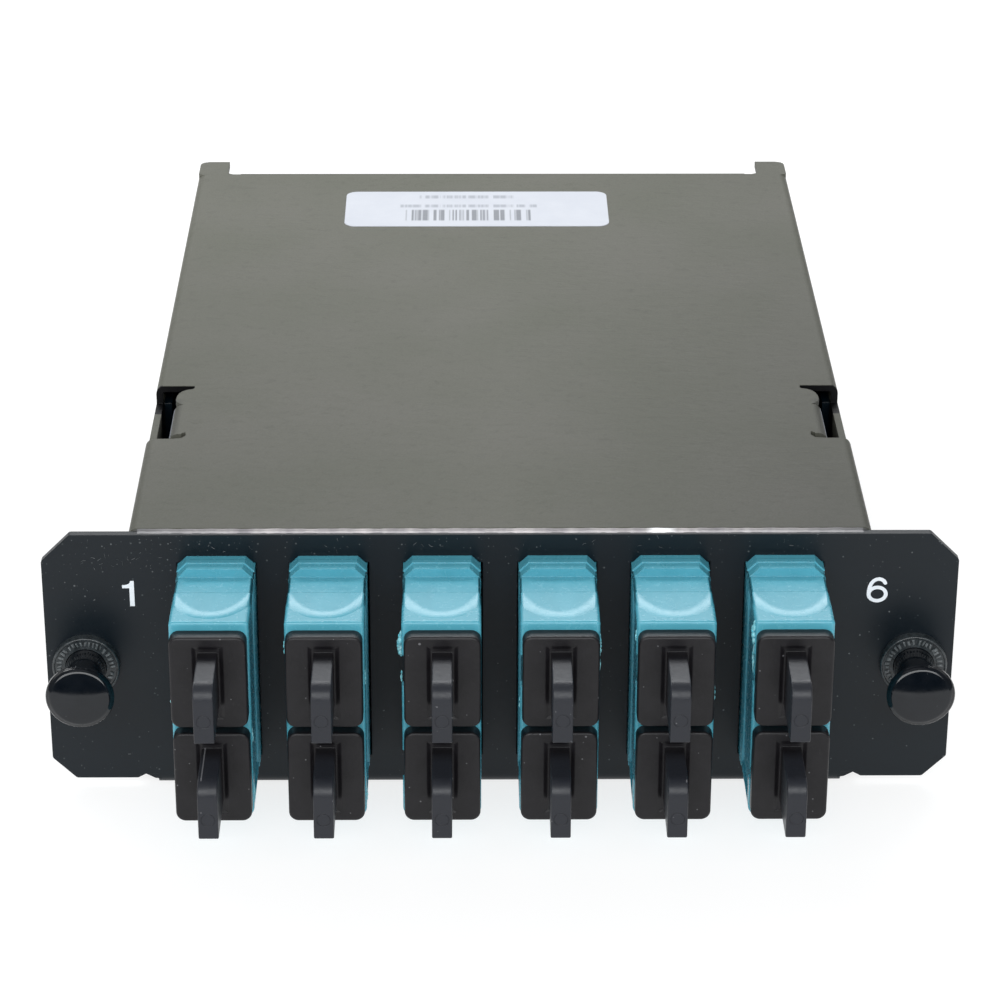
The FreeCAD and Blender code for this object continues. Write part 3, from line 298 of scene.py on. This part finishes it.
def aqua_material(name, base, deep, swell=()):
    g = Graph(name, ior=1.5, spec=0.5)
    flow = g.noise(0.35, 2.0, 0.5, 0.4, stretch=(1, 0.35, 1))
    colour = g.mix(g.span(flow, 0.35, 0.65), base, deep)
    rough = g.span(g.noise(1.3, 2.0, 0.6, offset=(1, 7, 2)), 0.3, 0.7, 0.22, 0.29)
    normal = g.bump(g.noise(0.40, 1.0, 0.4, offset=(3, 3, 9)), 0.010, 0.35, g.bevel(0.16))
    if swell:
        # the top of each moulding swells a little, with a steeper slope along its front and sides
        best = None
        for cx, high_mm in swell:
            dx = g.math("ABSOLUTE", g.math("SUBTRACT", g.x, cx))
            t = g.math("ADD", g.y, 15.15)
            curve = g.math("MULTIPLY", g.math("POWER", g.math("MULTIPLY", dx, 1.0 / 3.7), 2.5), 1.95)
            u = g.math("SUBTRACT", t, g.math("ADD", curve, 0.42))
            wide = g.math("ADD", g.math("MULTIPLY", g.math("POWER", g.math("MULTIPLY", dx, 0.25), 2.0), 1.8), 2.0)
            part = g.math("SUBTRACT", 1.0, g.math("DIVIDE", u, wide), clamp=True)
            ramp = g.math("SUBTRACT", 1.0, g.math("MULTIPLY", part, part))
            ramp = g.math("MULTIPLY", ramp, g.math("MULTIPLY", wide, high_mm * 0.5))
            inside = g.span(dx, 5.2, 5.1)
            h = g.math("MULTIPLY", ramp, inside)
            best = h if best is None else g.math("MAXIMUM", best, h)
        on_top = g.span(g.z, 13.2, 13.5)
        normal = g.bump(g.math("MULTIPLY", best, on_top), 1.0, 1.0, normal)
    return g.done(colour, rough, normal)


def cap_material():
    g = Graph("cap_black", ior=1.5, spec=0.30)
    mottle = g.noise(0.5, 3.0, 0.55)
    colour = g.mix(g.span(mottle, 0.35, 0.65), (0.0055, 0.0050, 0.0062), (0.0080, 0.0074, 0.0090))
    # painted highlight: the grip fins are painted paler and bluer than the faces, for the bluish light their fronts
    # catch
    colour = g.mix(g.span(g.y, -18.2, -20.5), colour, (0.0150, 0.0165, 0.0215))
    at = g.flat(g.x, g.z)
    scratch = g.noise(2.0, 3.0, 0.65, 0.8, offset=(3, 1, 5), stretch=(1.0, 1.0, 0.8))
    colour = g.mix(g.span(scratch, 0.60, 0.74, 0.0, 0.35), colour, (0.020, 0.019, 0.021))
    dots = g.math("MAXIMUM", specks(g, at, 1.7, 0.20, 0.14, 5), specks(g, at, 3.8, 0.34, 0.12, 6))
    colour = g.mix(g.math("MULTIPLY", dots, 0.7), colour, (0.16, 0.16, 0.17))
    rough = g.span(g.noise(1.8, 2.0, 0.6, offset=(8, 2, 4)), 0.3, 0.7, 0.33, 0.45)
    normal = g.bump(g.noise(1.7, 3.0, 0.6, 0.5), 0.030, 0.6, g.bevel(0.20, 6))
    return g.done(colour, rough, normal)


def head_bump(g, normal):
    """Each pushing face is nearly flat below its middle and leans back above a soft crest line."""
    out = None
    for cx in (-49.95, 49.95):
        dx = g.math("SUBTRACT", g.x, cx)
        dx2 = g.math("MULTIPLY", dx, dx)
        r2 = g.math("ADD", dx2, g.math("MULTIPLY", g.z, g.z))
        inside = g.math("LESS_THAN", r2, 16.2)
        rim = g.math("MAXIMUM", g.math("SUBTRACT", g.math("SQRT", r2), 3.35), 0.0)
        rim = g.math("MULTIPLY", g.math("MULTIPLY", rim, rim), 0.85)
        over = g.math("MAXIMUM", g.math("SUBTRACT", g.math("SUBTRACT", g.z, 0.02), g.math("MULTIPLY", dx2, 0.03)), 0.0)
        knee = g.math("SUBTRACT", g.math("SQRT", g.math("ADD", g.math("MULTIPLY", over, over), 0.04)), 0.2)
        h = g.math("SUBTRACT", 2.5, g.math("ADD", g.math("ADD", g.math("MULTIPLY", knee, 0.245), rim), g.math("MULTIPLY", dx2, 0.012)))
        h = g.math("MULTIPLY", inside, h)
        out = h if out is None else g.math("MAXIMUM", out, h)
    front = g.math("LESS_THAN", g.y, -8.65)
    return g.bump(g.math("MULTIPLY", out, front), 1.0, 1.0, normal)


def nylon_material(name="latch_nylon", crown=True):
    g = Graph(name, ior=1.5, spec=0.42)
    mottle = g.noise(0.6, 2.0, 0.5)
    colour = g.mix(g.span(mottle, 0.35, 0.65), (0.0016, 0.0030, 0.0052), (0.0032, 0.0048, 0.0072))
    at = g.flat(g.x, g.z)
    dots = specks(g, at, 1.4, 0.18, 0.12, 9)
    colour = g.mix(g.math("MULTIPLY", dots, 0.7), colour, (0.10, 0.105, 0.11))
    rough = g.span(g.noise(0.9, 3.0, 0.6, offset=(2, 2, 7)), 0.3, 0.7, 0.09, 0.15)
    normal = g.bump(g.noise(1.1, 2.0, 0.5), 0.006, 0.4, g.bevel(0.08))
    if crown:
        normal = head_bump(g, normal)
    return g.done(colour, rough, normal)


def ring_material():
    g = Graph("grommet_nylon", ior=1.53, spec=0.5)
    mottle = g.noise(1.6, 3.0, 0.6)
    colour = g.mix(g.span(mottle, 0.35, 0.65), (0.008, 0.011, 0.013), (0.030, 0.037, 0.041))
    rough = g.span(g.noise(1.4, 3.0, 0.6, offset=(2, 2, 7)), 0.3, 0.7, 0.22, 0.36)
    normal = g.bump(g.noise(2.2, 3.0, 0.6), 0.020, 0.6, g.bevel(0.06))
    return g.done(colour, rough, normal)


def relief_material():
    g = Graph("grommet_relief", ior=1.55, spec=0.6)
    mottle = g.noise(1.9, 3.0, 0.6)
    # painted light: the relief is a paler copy of the grommet nylon, for the light its raised tops catch
    colour = g.mix(g.span(mottle, 0.38, 0.62), (0.034, 0.040, 0.043), (0.12, 0.132, 0.138))
    rough = g.span(g.noise(1.4, 3.0, 0.6, offset=(2, 2, 7)), 0.3, 0.7, 0.30, 0.46)
    normal = g.bump(g.noise(2.6, 3.0, 0.6), 0.015, 0.6, g.bevel(0.05))
    return g.done(colour, rough, normal)


def label_material():
    g = Graph("label_film", ior=1.45, spec=0.35)
    paper = g.noise(0.25, 2.0, 0.5)
    colour = g.mix(g.span(paper, 0.3, 0.7), (0.545, 0.565, 0.62), (0.575, 0.595, 0.645))
    # plain bars of uneven width and two broken grey rules, which spell nothing
    n = g.new("ShaderNodeTexNoise")
    n.noise_dimensions = "1D"
    g.link(g.x, n.inputs["W"])
    n.inputs["Scale"].default_value = 1.25
    n.inputs["Detail"].default_value = 1.0
    bars = g.span(n.outputs["Fac"], 0.46, 0.54)
    ink = g.times(bars, g.band(g.x, -13.0, 5.4, 0.05), g.band(g.y, 98.7, 102.9, 0.25))
    n2 = g.new("ShaderNodeTexNoise")
    n2.noise_dimensions = "1D"
    g.link(g.x, n2.inputs["W"])
    n2.inputs["Scale"].default_value = 1.1
    n2.inputs["Detail"].default_value = 2.0
    dash = g.span(n2.outputs["Fac"], 0.40, 0.54)
    row1 = g.times(g.band(g.x, -14.1, 6.4, 0.1), g.band(g.y, 103.9, 105.0, 0.25))
    row2 = g.times(g.band(g.x, -10.9, 3.1, 0.1), g.band(g.y, 107.5, 108.7, 0.25))
    rows = g.times(dash, g.math("MAXIMUM", row1, row2))
    colour = g.mix(g.math("MULTIPLY", ink, 0.80), colour, (0.14, 0.15, 0.17))
    colour = g.mix(g.math("MULTIPLY", rows, 0.66), colour, (0.26, 0.28, 0.32))
    rough = g.span(g.noise(1.7, 2.0, 0.5), 0.3, 0.7, 0.42, 0.52)
    normal = g.bump(g.noise(0.8, 2.0, 0.5), 0.004, 0.5)
    return g.done(colour, rough, normal)


def plain_plastic(name, base, other, rough=(0.32, 0.45), grain=2.0, deep=0.010):
    g = Graph(name, ior=1.5, spec=0.5)
    mottle = g.noise(0.5, 3.0, 0.55)
    colour = g.mix(g.span(mottle, 0.35, 0.65), base, other)
    r = g.span(g.noise(1.6, 2.0, 0.6, offset=(8, 2, 4)), 0.3, 0.7, rough[0], rough[1])
    normal = g.bump(g.noise(grain, 3.0, 0.6), deep, 0.6, g.bevel(0.12))
    return g.done(colour, r, normal)


def metal(name, base, other, rough, stretch):
    g = Graph(name, metallic=1.0)
    brush = g.noise(2.2, 3.0, 0.6, stretch=stretch)
    colour = g.mix(g.span(brush, 0.3, 0.7), base, other)
    r = g.span(brush, 0.3, 0.7, rough[0], rough[1])
    normal = g.bump(brush, 0.004, 0.5, g.bevel(0.06))
    return g.done(colour, r, normal)


AQUA, AQUA_DEEP = (0.072, 0.318, 0.408), (0.064, 0.297, 0.382)
ADAPTER_X = [13.55 * (k - 2.5) + d for k, d in enumerate((0.04, -0.19, -0.21, -0.01, -0.11, 0.01))]
SWELL = list(zip(ADAPTER_X, (0.32, 0.31, 0.26, 0.23, 0.24, 0.25)))
MAT = {
    "tray_paint": tray_material(),
    "cover_paint": cover_material(),
    "adapter_aqua": aqua_material("adapter_aqua", AQUA, AQUA_DEEP, SWELL),
    "cap_black": cap_material(),
    "latch_nylon": nylon_material(),
    "grommet_nylon": ring_material(),
    "label_film": label_material(),
    "screw_steel": metal("screw_steel", (0.07, 0.07, 0.075), (0.12, 0.12, 0.125), (0.30, 0.45), (1, 1, 1)),
    "clip_steel": metal("clip_steel", (0.50, 0.50, 0.50), (0.62, 0.62, 0.61), (0.22, 0.38), (1, 0.1, 1)),
    "connector_beige": plain_plastic("connector_beige", (0.55, 0.48, 0.34), (0.60, 0.53, 0.39)),
    "sleeve_ceramic": plain_plastic("sleeve_ceramic", (0.80, 0.80, 0.77), (0.86, 0.86, 0.83), (0.10, 0.18), 3.0, 0.003),
    "mpo_black": plain_plastic("mpo_black", (0.020, 0.020, 0.022), (0.027, 0.027, 0.029)),
    "mpo_aqua": aqua_material("mpo_aqua", AQUA, AQUA_DEEP),
    "mpo_cap": plain_plastic("mpo_cap", (0.035, 0.035, 0.037), (0.046, 0.046, 0.048)),
    "fibre_jacket": plain_plastic("fibre_jacket", (0.10, 0.38, 0.42), (0.12, 0.43, 0.47), (0.35, 0.5)),
}


def kind_of(node):
    table = [
        ("base_tray", "tray_paint"), ("top_cover", "cover_paint"), ("cover_screws", "screw_steel"),
        ("top_label", "label_film"), ("adapter_clip", "clip_steel"), ("adapter_", "adapter_aqua"),
        ("dust_cap", "cap_black"), ("sc_connector", "connector_beige"), ("alignment", "sleeve_ceramic"),
        ("grommet", "grommet_nylon"), ("plunger", "latch_nylon"), ("mpo_adapter", "mpo_black"),
        ("mpo_connector", "mpo_aqua"), ("mpo_dust_cap", "mpo_cap"), ("fanout_block", "mpo_black"),
        ("fibre_harness", "fibre_jacket"), ("trunk_cable", "fibre_jacket")]
    for start, slot in table:
        if node.startswith(start):
            return slot
    return "mpo_black"


for name, obj in nodes.items():
    if not obj.material_slots:
        obj.data.materials.append(MAT[kind_of(name)])
    for s in obj.material_slots:
        s.material = MAT[kind_of(name)]


# --------------------------------------------------------------- mesh helpers
def add(name, bm, mat, body, smooth=None):
    bmesh.ops.recalc_face_normals(bm, faces=bm.faces)
    me = bpy.data.meshes.new(name)
    bm.to_mesh(me)
    bm.free()
    if smooth is not None:
        for p in me.polygons:
            p.use_smooth = True
        me.set_sharp_from_angle(angle=math.radians(smooth))
    me.materials.append(mat)
    obj = bpy.data.objects.new(name, me)
    scene.collection.objects.link(obj)
    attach(obj, body)
    return obj


def slab(bm, outline, back, front, ease=0.0):
    """A plate with that outline of (x, z) in mm, from y back to y front, with an eased front rim."""
    cx = sum(p[0] for p in outline) / len(outline)
    cz = sum(p[1] for p in outline) / len(outline)
    rings = [(back, 0.0), (front + (ease if front < back else -ease), 0.0), (front, ease)]
    made = []
    for y, inset in rings:
        ring = []
        for x, z in outline:
            d = math.hypot(x - cx, z - cz) or 1.0
            ring.append(bm.verts.new(((x - (x - cx) / d * inset) * MM, y * MM, (z - (z - cz) / d * inset) * MM)))
        made.append(ring)
    n = len(outline)
    for a, b in zip(made, made[1:]):
        for i in range(n):
            bm.faces.new((a[i], a[(i + 1) % n], b[(i + 1) % n], b[i]))
    bm.faces.new(made[0])
    bm.faces.new(list(reversed(made[-1])))


def stroke(bm, points, wide, back, front, closed=False):
    """A pen stroke along points of (x, z) in mm, as a thin raised ribbon with round ends."""
    pts = [Vector((p[0], p[1])) for p in points]
    n = len(pts)
    sides = []
    for i in range(n):
        a = pts[(i - 1) % n] if closed or i else pts[i]
        b = pts[(i + 1) % n] if closed or i < n - 1 else pts[i]
        t = (b - a).normalized()
        sides.append(Vector((-t.y, t.x)) * wide / 2)
    if closed:
        outer = [pts[i] + sides[i] for i in range(n)]
        inner = [pts[i] - sides[i] for i in range(n)]
        vo = [[bm.verts.new((p.x * MM, y * MM, p.y * MM)) for p in outer] for y in (back, front)]
        vi = [[bm.verts.new((p.x * MM, y * MM, p.y * MM)) for p in inner] for y in (back, front)]
        for i in range(n):
            j = (i + 1) % n
            bm.faces.new((vo[1][i], vo[1][j], vi[1][j], vi[1][i]))
            bm.faces.new((vo[0][i], vi[0][i], vi[0][j], vo[0][j]))
            bm.faces.new((vo[0][i], vo[0][j], vo[1][j], vo[1][i]))
            bm.faces.new((vi[0][i], vi[1][i], vi[1][j], vi[0][j]))
        return
    rim = [pts[i] + sides[i] for i in range(n)]
    end = (pts[-1] - pts[-2]).normalized()
    for k in range(1, 6):
        a = math.pi / 2 - math.pi * k / 6
        rim.append(pts[-1] + Vector((-end.y, end.x)) * math.sin(a) * wide / 2 + end * math.cos(a) * wide / 2)
    rim += [pts[i] - sides[i] for i in reversed(range(n))]
    start = (pts[0] - pts[1]).normalized()
    for k in range(1, 6):
        a = math.pi / 2 - math.pi * k / 6
        rim.append(pts[0] + Vector((-start.y, start.x)) * math.sin(a) * wide / 2 + start * math.cos(a) * wide / 2)
    slab(bm, [(p.x, p.y) for p in rim], back, front)


def tube(bm, path, radius, sides=6):
    """A closed round thread along path, in mm."""
    rings = []
    up = Vector((0, 1, 0))
    for i, p in enumerate(path):
        a, b = path[max(0, i - 1)], path[min(len(path) - 1, i + 1)]
        t = (b - a).normalized()
        u = t.cross(up).normalized()
        v = t.cross(u).normalized()
        r = radius * (0.6 if i in (0, len(path) - 1) else 1.0)
        rings.append([bm.verts.new((p + (u * math.cos(q) + v * math.sin(q)) * r) * MM)
                      for q in [2 * math.pi * k / sides for k in range(sides)]])
    for a, b in zip(rings, rings[1:]):
        for k in range(sides):
            bm.faces.new((a[k], a[(k + 1) % sides], b[(k + 1) % sides], b[k]))
    bm.faces.new(list(reversed(rings[0])))
    bm.faces.new(rings[-1])


def lump(bm, centre, size, rng, rough=0.18):
    """A small irregular closed grain."""
    made = bmesh.ops.create_icosphere(bm, subdivisions=2, radius=1.0)["verts"]
    for v in made:
        k = 1.0 + rng.uniform(-rough, rough)
        v.co = Vector((centre[0] + v.co.x * size[0] * k, centre[1] + v.co.y * size[1] * k,
                       centre[2] + v.co.z * size[2] * k)) * MM


# -------------------------------------------------------------- printed digits
def print_material():
    g = Graph("port_print", ior=1.45, spec=0.3)
    n = g.noise(2.5, 3.0, 0.6)
    colour = g.mix(g.span(n, 0.35, 0.65), (0.64, 0.67, 0.71), (0.68, 0.70, 0.73))
    return g.done(colour, g.span(n, 0.3, 0.7, 0.45, 0.6), g.bump(n, 0.004, 0.5))


white = print_material()
bm = bmesh.new()
ox, oz = -45.22, 7.92
one = [(1.42, 0.0), (1.42, 3.4), (1.0, 3.4), (0.93, 3.16), (0.78, 2.99), (0.55, 2.89), (0.28, 2.84), (0.0, 2.83),
       (0.0, 2.43), (0.86, 2.43), (0.86, 0.0)]
slab(bm, [(ox + x, oz + z) for x, z in one], -0.99, -1.025)
add("port_digit_1", bm, white, "housing")

bm = bmesh.new()
ox, oz = 43.9, 8.22
bowl = [(ox + 1.27 + 1.03 * math.cos(a), oz + 1.12 + 0.90 * math.sin(a))
        for a in [2 * math.pi * k / 40 for k in range(40)]]
stroke(bm, bowl, 0.46, -0.99, -1.025, closed=True)
tail = [(0.24, 1.15), (0.25, 1.6), (0.33, 2.1), (0.50, 2.55), (0.76, 2.9), (1.08, 3.1), (1.42, 3.16), (1.75, 3.08),
        (2.02, 2.88), (2.17, 2.62)]
stroke(bm, [(ox + x, oz + z) for x, z in tail], 0.46, -0.99, -1.027)
add("port_digit_6", bm, white, "housing")

# --------------------------------------------------------- relief on the grommets
relief = relief_material()
for side, cx in (("left", -49.95), ("right", 49.95)):
    rng = random.Random(41 if side == "left" else 42)
    bm = bmesh.new()
    a = 0.0
    while a < 360.0 - 7.0:
        wide = rng.uniform(3.2, 6.2)
        r0 = 2.78 + rng.uniform(0.0, 0.22)
        r1 = 3.62 - rng.uniform(0.0, 0.18)
        lean = rng.uniform(-3.0, 3.0)
        ring = []
        for r, da in ((r0, 0), (r1, lean), (r1, lean + wide), (r0, wide)):
            q = math.radians(a + da)
            ring.append((cx + r * math.cos(q), r * math.sin(q)))
        slab(bm, ring, -1.80, -2.06 - rng.uniform(0.0, 0.08), 0.08)
        a += wide + rng.uniform(3.4, 6.5)
    add("grommet_relief_" + side, bm, relief, "housing")
    # raised lip round the outside of the flange
    bm = bmesh.new()
    prof = [(3.72, -1.85), (3.74, -2.02), (3.80, -2.08), (3.92, -2.08), (4.0, -2.02), (4.05, -1.9), (4.04, -1.75), (3.72, -1.75)]
    rings = []
    steps = 64
    for k in range(steps):
        q = 2 * math.pi * k / steps
        rings.append([bm.verts.new(((cx + r * math.cos(q)) * MM, y * MM, r * math.sin(q) * MM)) for r, y in prof])
    for k in range(steps):
        p, n = rings[k], rings[(k + 1) % steps]
        for i in range(len(prof)):
            j = (i + 1) % len(prof)
            bm.faces.new((p[i], p[j], n[j], n[i]))
    add("grommet_lip_" + side, bm, MAT["grommet_nylon"], "housing", smooth=40)


# ------------------------------------------------ strip over the top seam, carrying the seam's painted highlight
def seam_highlight_material():
    g = Graph("seam_highlight_paint", ior=1.5, spec=0.5)
    n = g.noise(2.0, 3.0, 0.6)
    return g.done(painted_seam_highlight(g), g.span(n, 0.3, 0.7, 0.34, 0.48), g.bump(n, 0.020, 0.5))


bm = bmesh.new()
prof = [(-0.60, 17.30), (-0.60, 17.452), (-0.30, 17.475), (-0.02, 17.53), (0.10, 17.62), (0.155, 17.69), (0.17, 17.30)]
rings = []
for i in range(121):
    x = -43.2 + 86.4 * i / 120
    dip = 0.02 * math.sin(i * 1.7) + 0.015 * math.sin(i * 0.61)
    rings.append([bm.verts.new((x * MM, y * MM, (z + (dip if z > 17.4 else 0.0)) * MM)) for y, z in prof])
for a, b in zip(rings, rings[1:]):
    for k in range(len(prof)):
        bm.faces.new((a[k], a[(k + 1) % len(prof)], b[(k + 1) % len(prof)], b[k]))
bm.faces.new(rings[0])
bm.faces.new(list(reversed(rings[-1])))
add("plate_top_seam", bm, seam_highlight_material(), "housing", smooth=50)


# ------------------------------------------------------- burrs on the mouldings
def burr_material():
    g = Graph("aqua_burr", ior=1.5, spec=0.5)
    n = g.noise(1.6, 2.0, 0.5)
    colour = g.mix(g.span(n, 0.35, 0.65), (0.10, 0.42, 0.52), (0.22, 0.55, 0.62))
    g.bsdf.inputs["Subsurface Weight"].default_value = 0.5
    g.bsdf.inputs["Subsurface Scale"].default_value = 0.0010
    g.bsdf.inputs["Subsurface Radius"].default_value = (0.6, 1.0, 1.0)
    return g.done(colour, g.span(n, 0.3, 0.7, 0.25, 0.4), g.bump(n, 0.02, 0.5))


burr = burr_material()
rng = random.Random(23)
bm = bmesh.new()
# adapter, side, height, how far it runs, and its size
rims = [(3, -1, 11.7, 2.5, 0.40), (2, -1, 10.6, 1.0, 0.14), (4, 1, 11.4, 2.4, 0.14), (4, 1, 8.2, 1.2, 0.11),
        (5, -1, 12.0, 1.0, 0.13), (6, -1, 13.0, 2.4, 0.28), (6, -1, 10.3, 3.4, 0.13), (3, -1, 6.6, 0.9, 0.13),
        (1, 1, -1.0, 1.4, 0.12), (1, 1, -8.6, 1.8, 0.14), (2, 1, -9.2, 1.2, 0.12), (6, 1, 10.4, 1.2, 0.11),
        (4, -1, 3.2, 0.8, 0.10), (1, -1, 3.4, 0.9, 0.12), (5, 1, 4.4, 1.1, 0.11), (2, 1, 6.8, 1.6, 0.10)]
for k, side, z, run, size in rims:
    cx = ADAPTER_X[k - 1] + side * 4.62
    count = max(2, int(run / 0.28))
    for i in range(count):
        zz = z - run * i / max(1, count - 1)
        swell = math.sin(math.pi * (i + 0.7) / (count + 0.6))
        lump(bm, (cx + side * size * 0.35 * swell * rng.uniform(0.6, 1.2), -15.1 + rng.uniform(-0.25, 0.30), zz),
             (size * (0.35 + 0.75 * swell), size * rng.uniform(0.6, 1.1), 0.26 + size * rng.uniform(0.2, 0.7)), rng, 0.16)
add("moulding_burrs", bm, burr, "housing", smooth=60)


# ---------------------------------------------------------------- lint and dust
def lint_material():
    g = Graph("lint", ior=1.4, spec=0.2)
    n = g.noise(1.4, 2.0, 0.5)
    colour = g.mix(g.span(n, 0.35, 0.65), (0.034, 0.040, 0.043), (0.15, 0.155, 0.16))
    return g.done(colour, g.span(n, 0.3, 0.7, 0.6, 0.8))


lint = lint_material()
rng = random.Random(7)
bm = bmesh.new()
spots = []
for _ in range(26):
    spots.append((rng.uniform(-50.5, -38.5), rng.gauss(13.9, 0.9)))
for k in range(6):
    for _ in range(5):
        spots.append((13.55 * (k - 2.5) + rng.uniform(-5.5, 5.5), rng.gauss(15.9, 0.5)))
for _ in range(12):
    spots.append((rng.uniform(-52.0, 52.0), rng.uniform(-14.5, 13.5)))
for x, z in spots:
    z = min(z, 16.9)
    if abs(abs(x) - 49.95) < 4.6 and abs(z) < 4.6:
        continue
    a = rng.uniform(0, math.pi)
    long = rng.uniform(0.15, 0.62)
    curl = rng.uniform(-1.2, 1.2)
    p = Vector((x, -1.03, z))
    path = []
    for i in range(6):
        path.append(p.copy())
        p = p + Vector((math.cos(a), rng.uniform(-0.02, 0.02), math.sin(a))) * long / 5
        p.y = min(-1.015, max(-1.10, p.y))
        a += curl / 5
    tube(bm, path, rng.uniform(0.016, 0.030), 5)
add("plate_lint", bm, lint, "housing")


# ------------------------------------------------------------------ the stage
def floor_material():
    g = Graph("studio_floor", spec=0.1)
    g.bsdf.inputs["Emission Color"].default_value = (1.0, 1.0, 1.0, 1.0)
    g.bsdf.inputs["Emission Strength"].default_value = 0.78
    n = g.noise(0.004, 2.0, 0.5)
    colour = g.mix(g.span(n, 0.3, 0.7), (0.25, 0.25, 0.25), (0.27, 0.27, 0.27))
    return g.done(colour, 0.7)


bm = bmesh.new()
floor_z = cad_box[0].z - 0.00005
for x, y in ((-30, -30), (30, -30), (30, 30), (-30, 30)):
    bm.verts.new((x, y, floor_z))
bm.verts.ensure_lookup_table()
bm.faces.new(bm.verts)
me = bpy.data.meshes.new("floor")
bm.to_mesh(me)
bm.free()
me.materials.append(floor_material())
floor = bpy.data.objects.new("floor", me)
scene.collection.objects.link(floor)

world = bpy.data.worlds.new("studio")
scene.world = world
world.use_nodes = True
wt = world.node_tree


def wmath(op, a, b=0.0):
    n = wt.nodes.new("ShaderNodeMath")
    n.operation = op
    for socket, value in zip(n.inputs, (a, b)):
        if isinstance(value, bpy.types.NodeSocket):
            wt.links.new(value, socket)
        else:
            socket.default_value = value
    return n.outputs[0]


def wspan(value, a, b, low=0.0, high=1.0):
    n = wt.nodes.new("ShaderNodeMapRange")
    n.interpolation_type = "SMOOTHSTEP"
    wt.links.new(value, n.inputs["Value"])
    for key, v in (("From Min", a), ("From Max", b), ("To Min", low), ("To Max", high)):
        n.inputs[key].default_value = v
    return n.outputs["Result"]


# a plain room: dark behind the camera, pale all round and above
way = wt.nodes.new("ShaderNodeTexCoord")
parts = wt.nodes.new("ShaderNodeSeparateXYZ")
wt.links.new(way.outputs["Generated"], parts.inputs[0])
dx, dy, dz = parts.outputs
run = wmath("SQRT", wmath("ADD", wmath("MULTIPLY", dx, dx), wmath("MULTIPLY", dy, dy)))
ahead = wmath("DIVIDE", wmath("MULTIPLY", dy, -1.0), wmath("MAXIMUM", run, 0.001))
dark = wmath("MULTIPLY", wspan(ahead, 0.900, 0.935), wspan(dz, 0.42, 0.60, 1.0, 0.0))
glow = wmath("MULTIPLY", wspan(ahead, 0.1, -0.5), wmath("MULTIPLY", wspan(dz, 0.22, 0.36), wspan(dz, 0.70, 0.54)))
level = wmath("SUBTRACT", 0.20, wmath("MULTIPLY", dark, 0.18))
level = wmath("ADD", level, wmath("MULTIPLY", glow, 1.00))
level = wmath("MULTIPLY", level, wspan(dx, -0.9, 0.9, 1.12, 0.86))
back = wt.nodes["Background"]
back.inputs["Color"].default_value = (0.97, 0.985, 1.0, 1.0)
wt.links.new(level, back.inputs["Strength"])


def softbox(name, at, aim, wide, tall, radiance, colour=(1, 1, 1)):
    data = bpy.data.lights.new(name, "AREA")
    data.shape = "RECTANGLE"
    data.size, data.size_y = wide, tall
    data.energy = radiance * math.pi * wide * tall
    data.color = colour
    obj = bpy.data.objects.new(name, data)
    scene.collection.objects.link(obj)
    obj.location = at
    obj.rotation_mode = "QUATERNION"
    obj.rotation_quaternion = (Vector(aim) - Vector(at)).to_track_quat("-Z", "Y")
    obj.visible_camera = False
    return obj


softbox("top_box", (-0.20, -0.02, 0.95), (0.0, 0.06, 0.0), 1.0, 0.70, 0.30, (0.95, 0.98, 1.0))
softbox("front_box", (-0.10, -1.07, 0.75), (0.0, 0.0, 0.0), 2.0, 0.72, 5.4, (0.97, 0.99, 1.0))
softbox("back_card", (-0.08, 0.80, 0.80), (0.0, 0.0, 0.0), 1.4, 0.34, 6.4, (0.97, 0.985, 1.0))

# ------------------------------------------------------------------ the camera
elev, yaw, roll = math.radians(25.073), math.radians(0.641), math.radians(0.181)
fwd = Vector((math.sin(yaw) * math.cos(elev), math.cos(yaw) * math.cos(elev), -math.sin(elev)))
right = Vector((math.cos(yaw), -math.sin(yaw), 0.0))
up = right.cross(fwd)
r2 = right * math.cos(roll) + up * math.sin(roll)
u2 = up * math.cos(roll) - right * math.sin(roll)
cam_data = bpy.data.cameras.new("camera")
cam_data.sensor_fit = "HORIZONTAL"
cam_data.sensor_width = 36.0
cam_data.lens = 3345.11 * 36.0 / 1000.0
cam_data.shift_x = 0.0
cam_data.shift_y = -0.0821
cam_data.clip_start = 0.01
cam_data.clip_end = 50.0
cam = bpy.data.objects.new("camera", cam_data)
scene.collection.objects.link(cam)
m = Matrix.Identity(4)
for i in range(3):
    m[i][0], m[i][1], m[i][2] = r2[i], u2[i], -fwd[i]
m[0][3], m[1][3], m[2][3] = -0.004083, -0.354889, 0.198308
cam.matrix_world = m
scene.camera = cam

scene.view_settings.view_transform = "Standard"
scene.view_settings.look = "None"
scene.view_settings.exposure = 0.0
scene.view_settings.gamma = 1.0
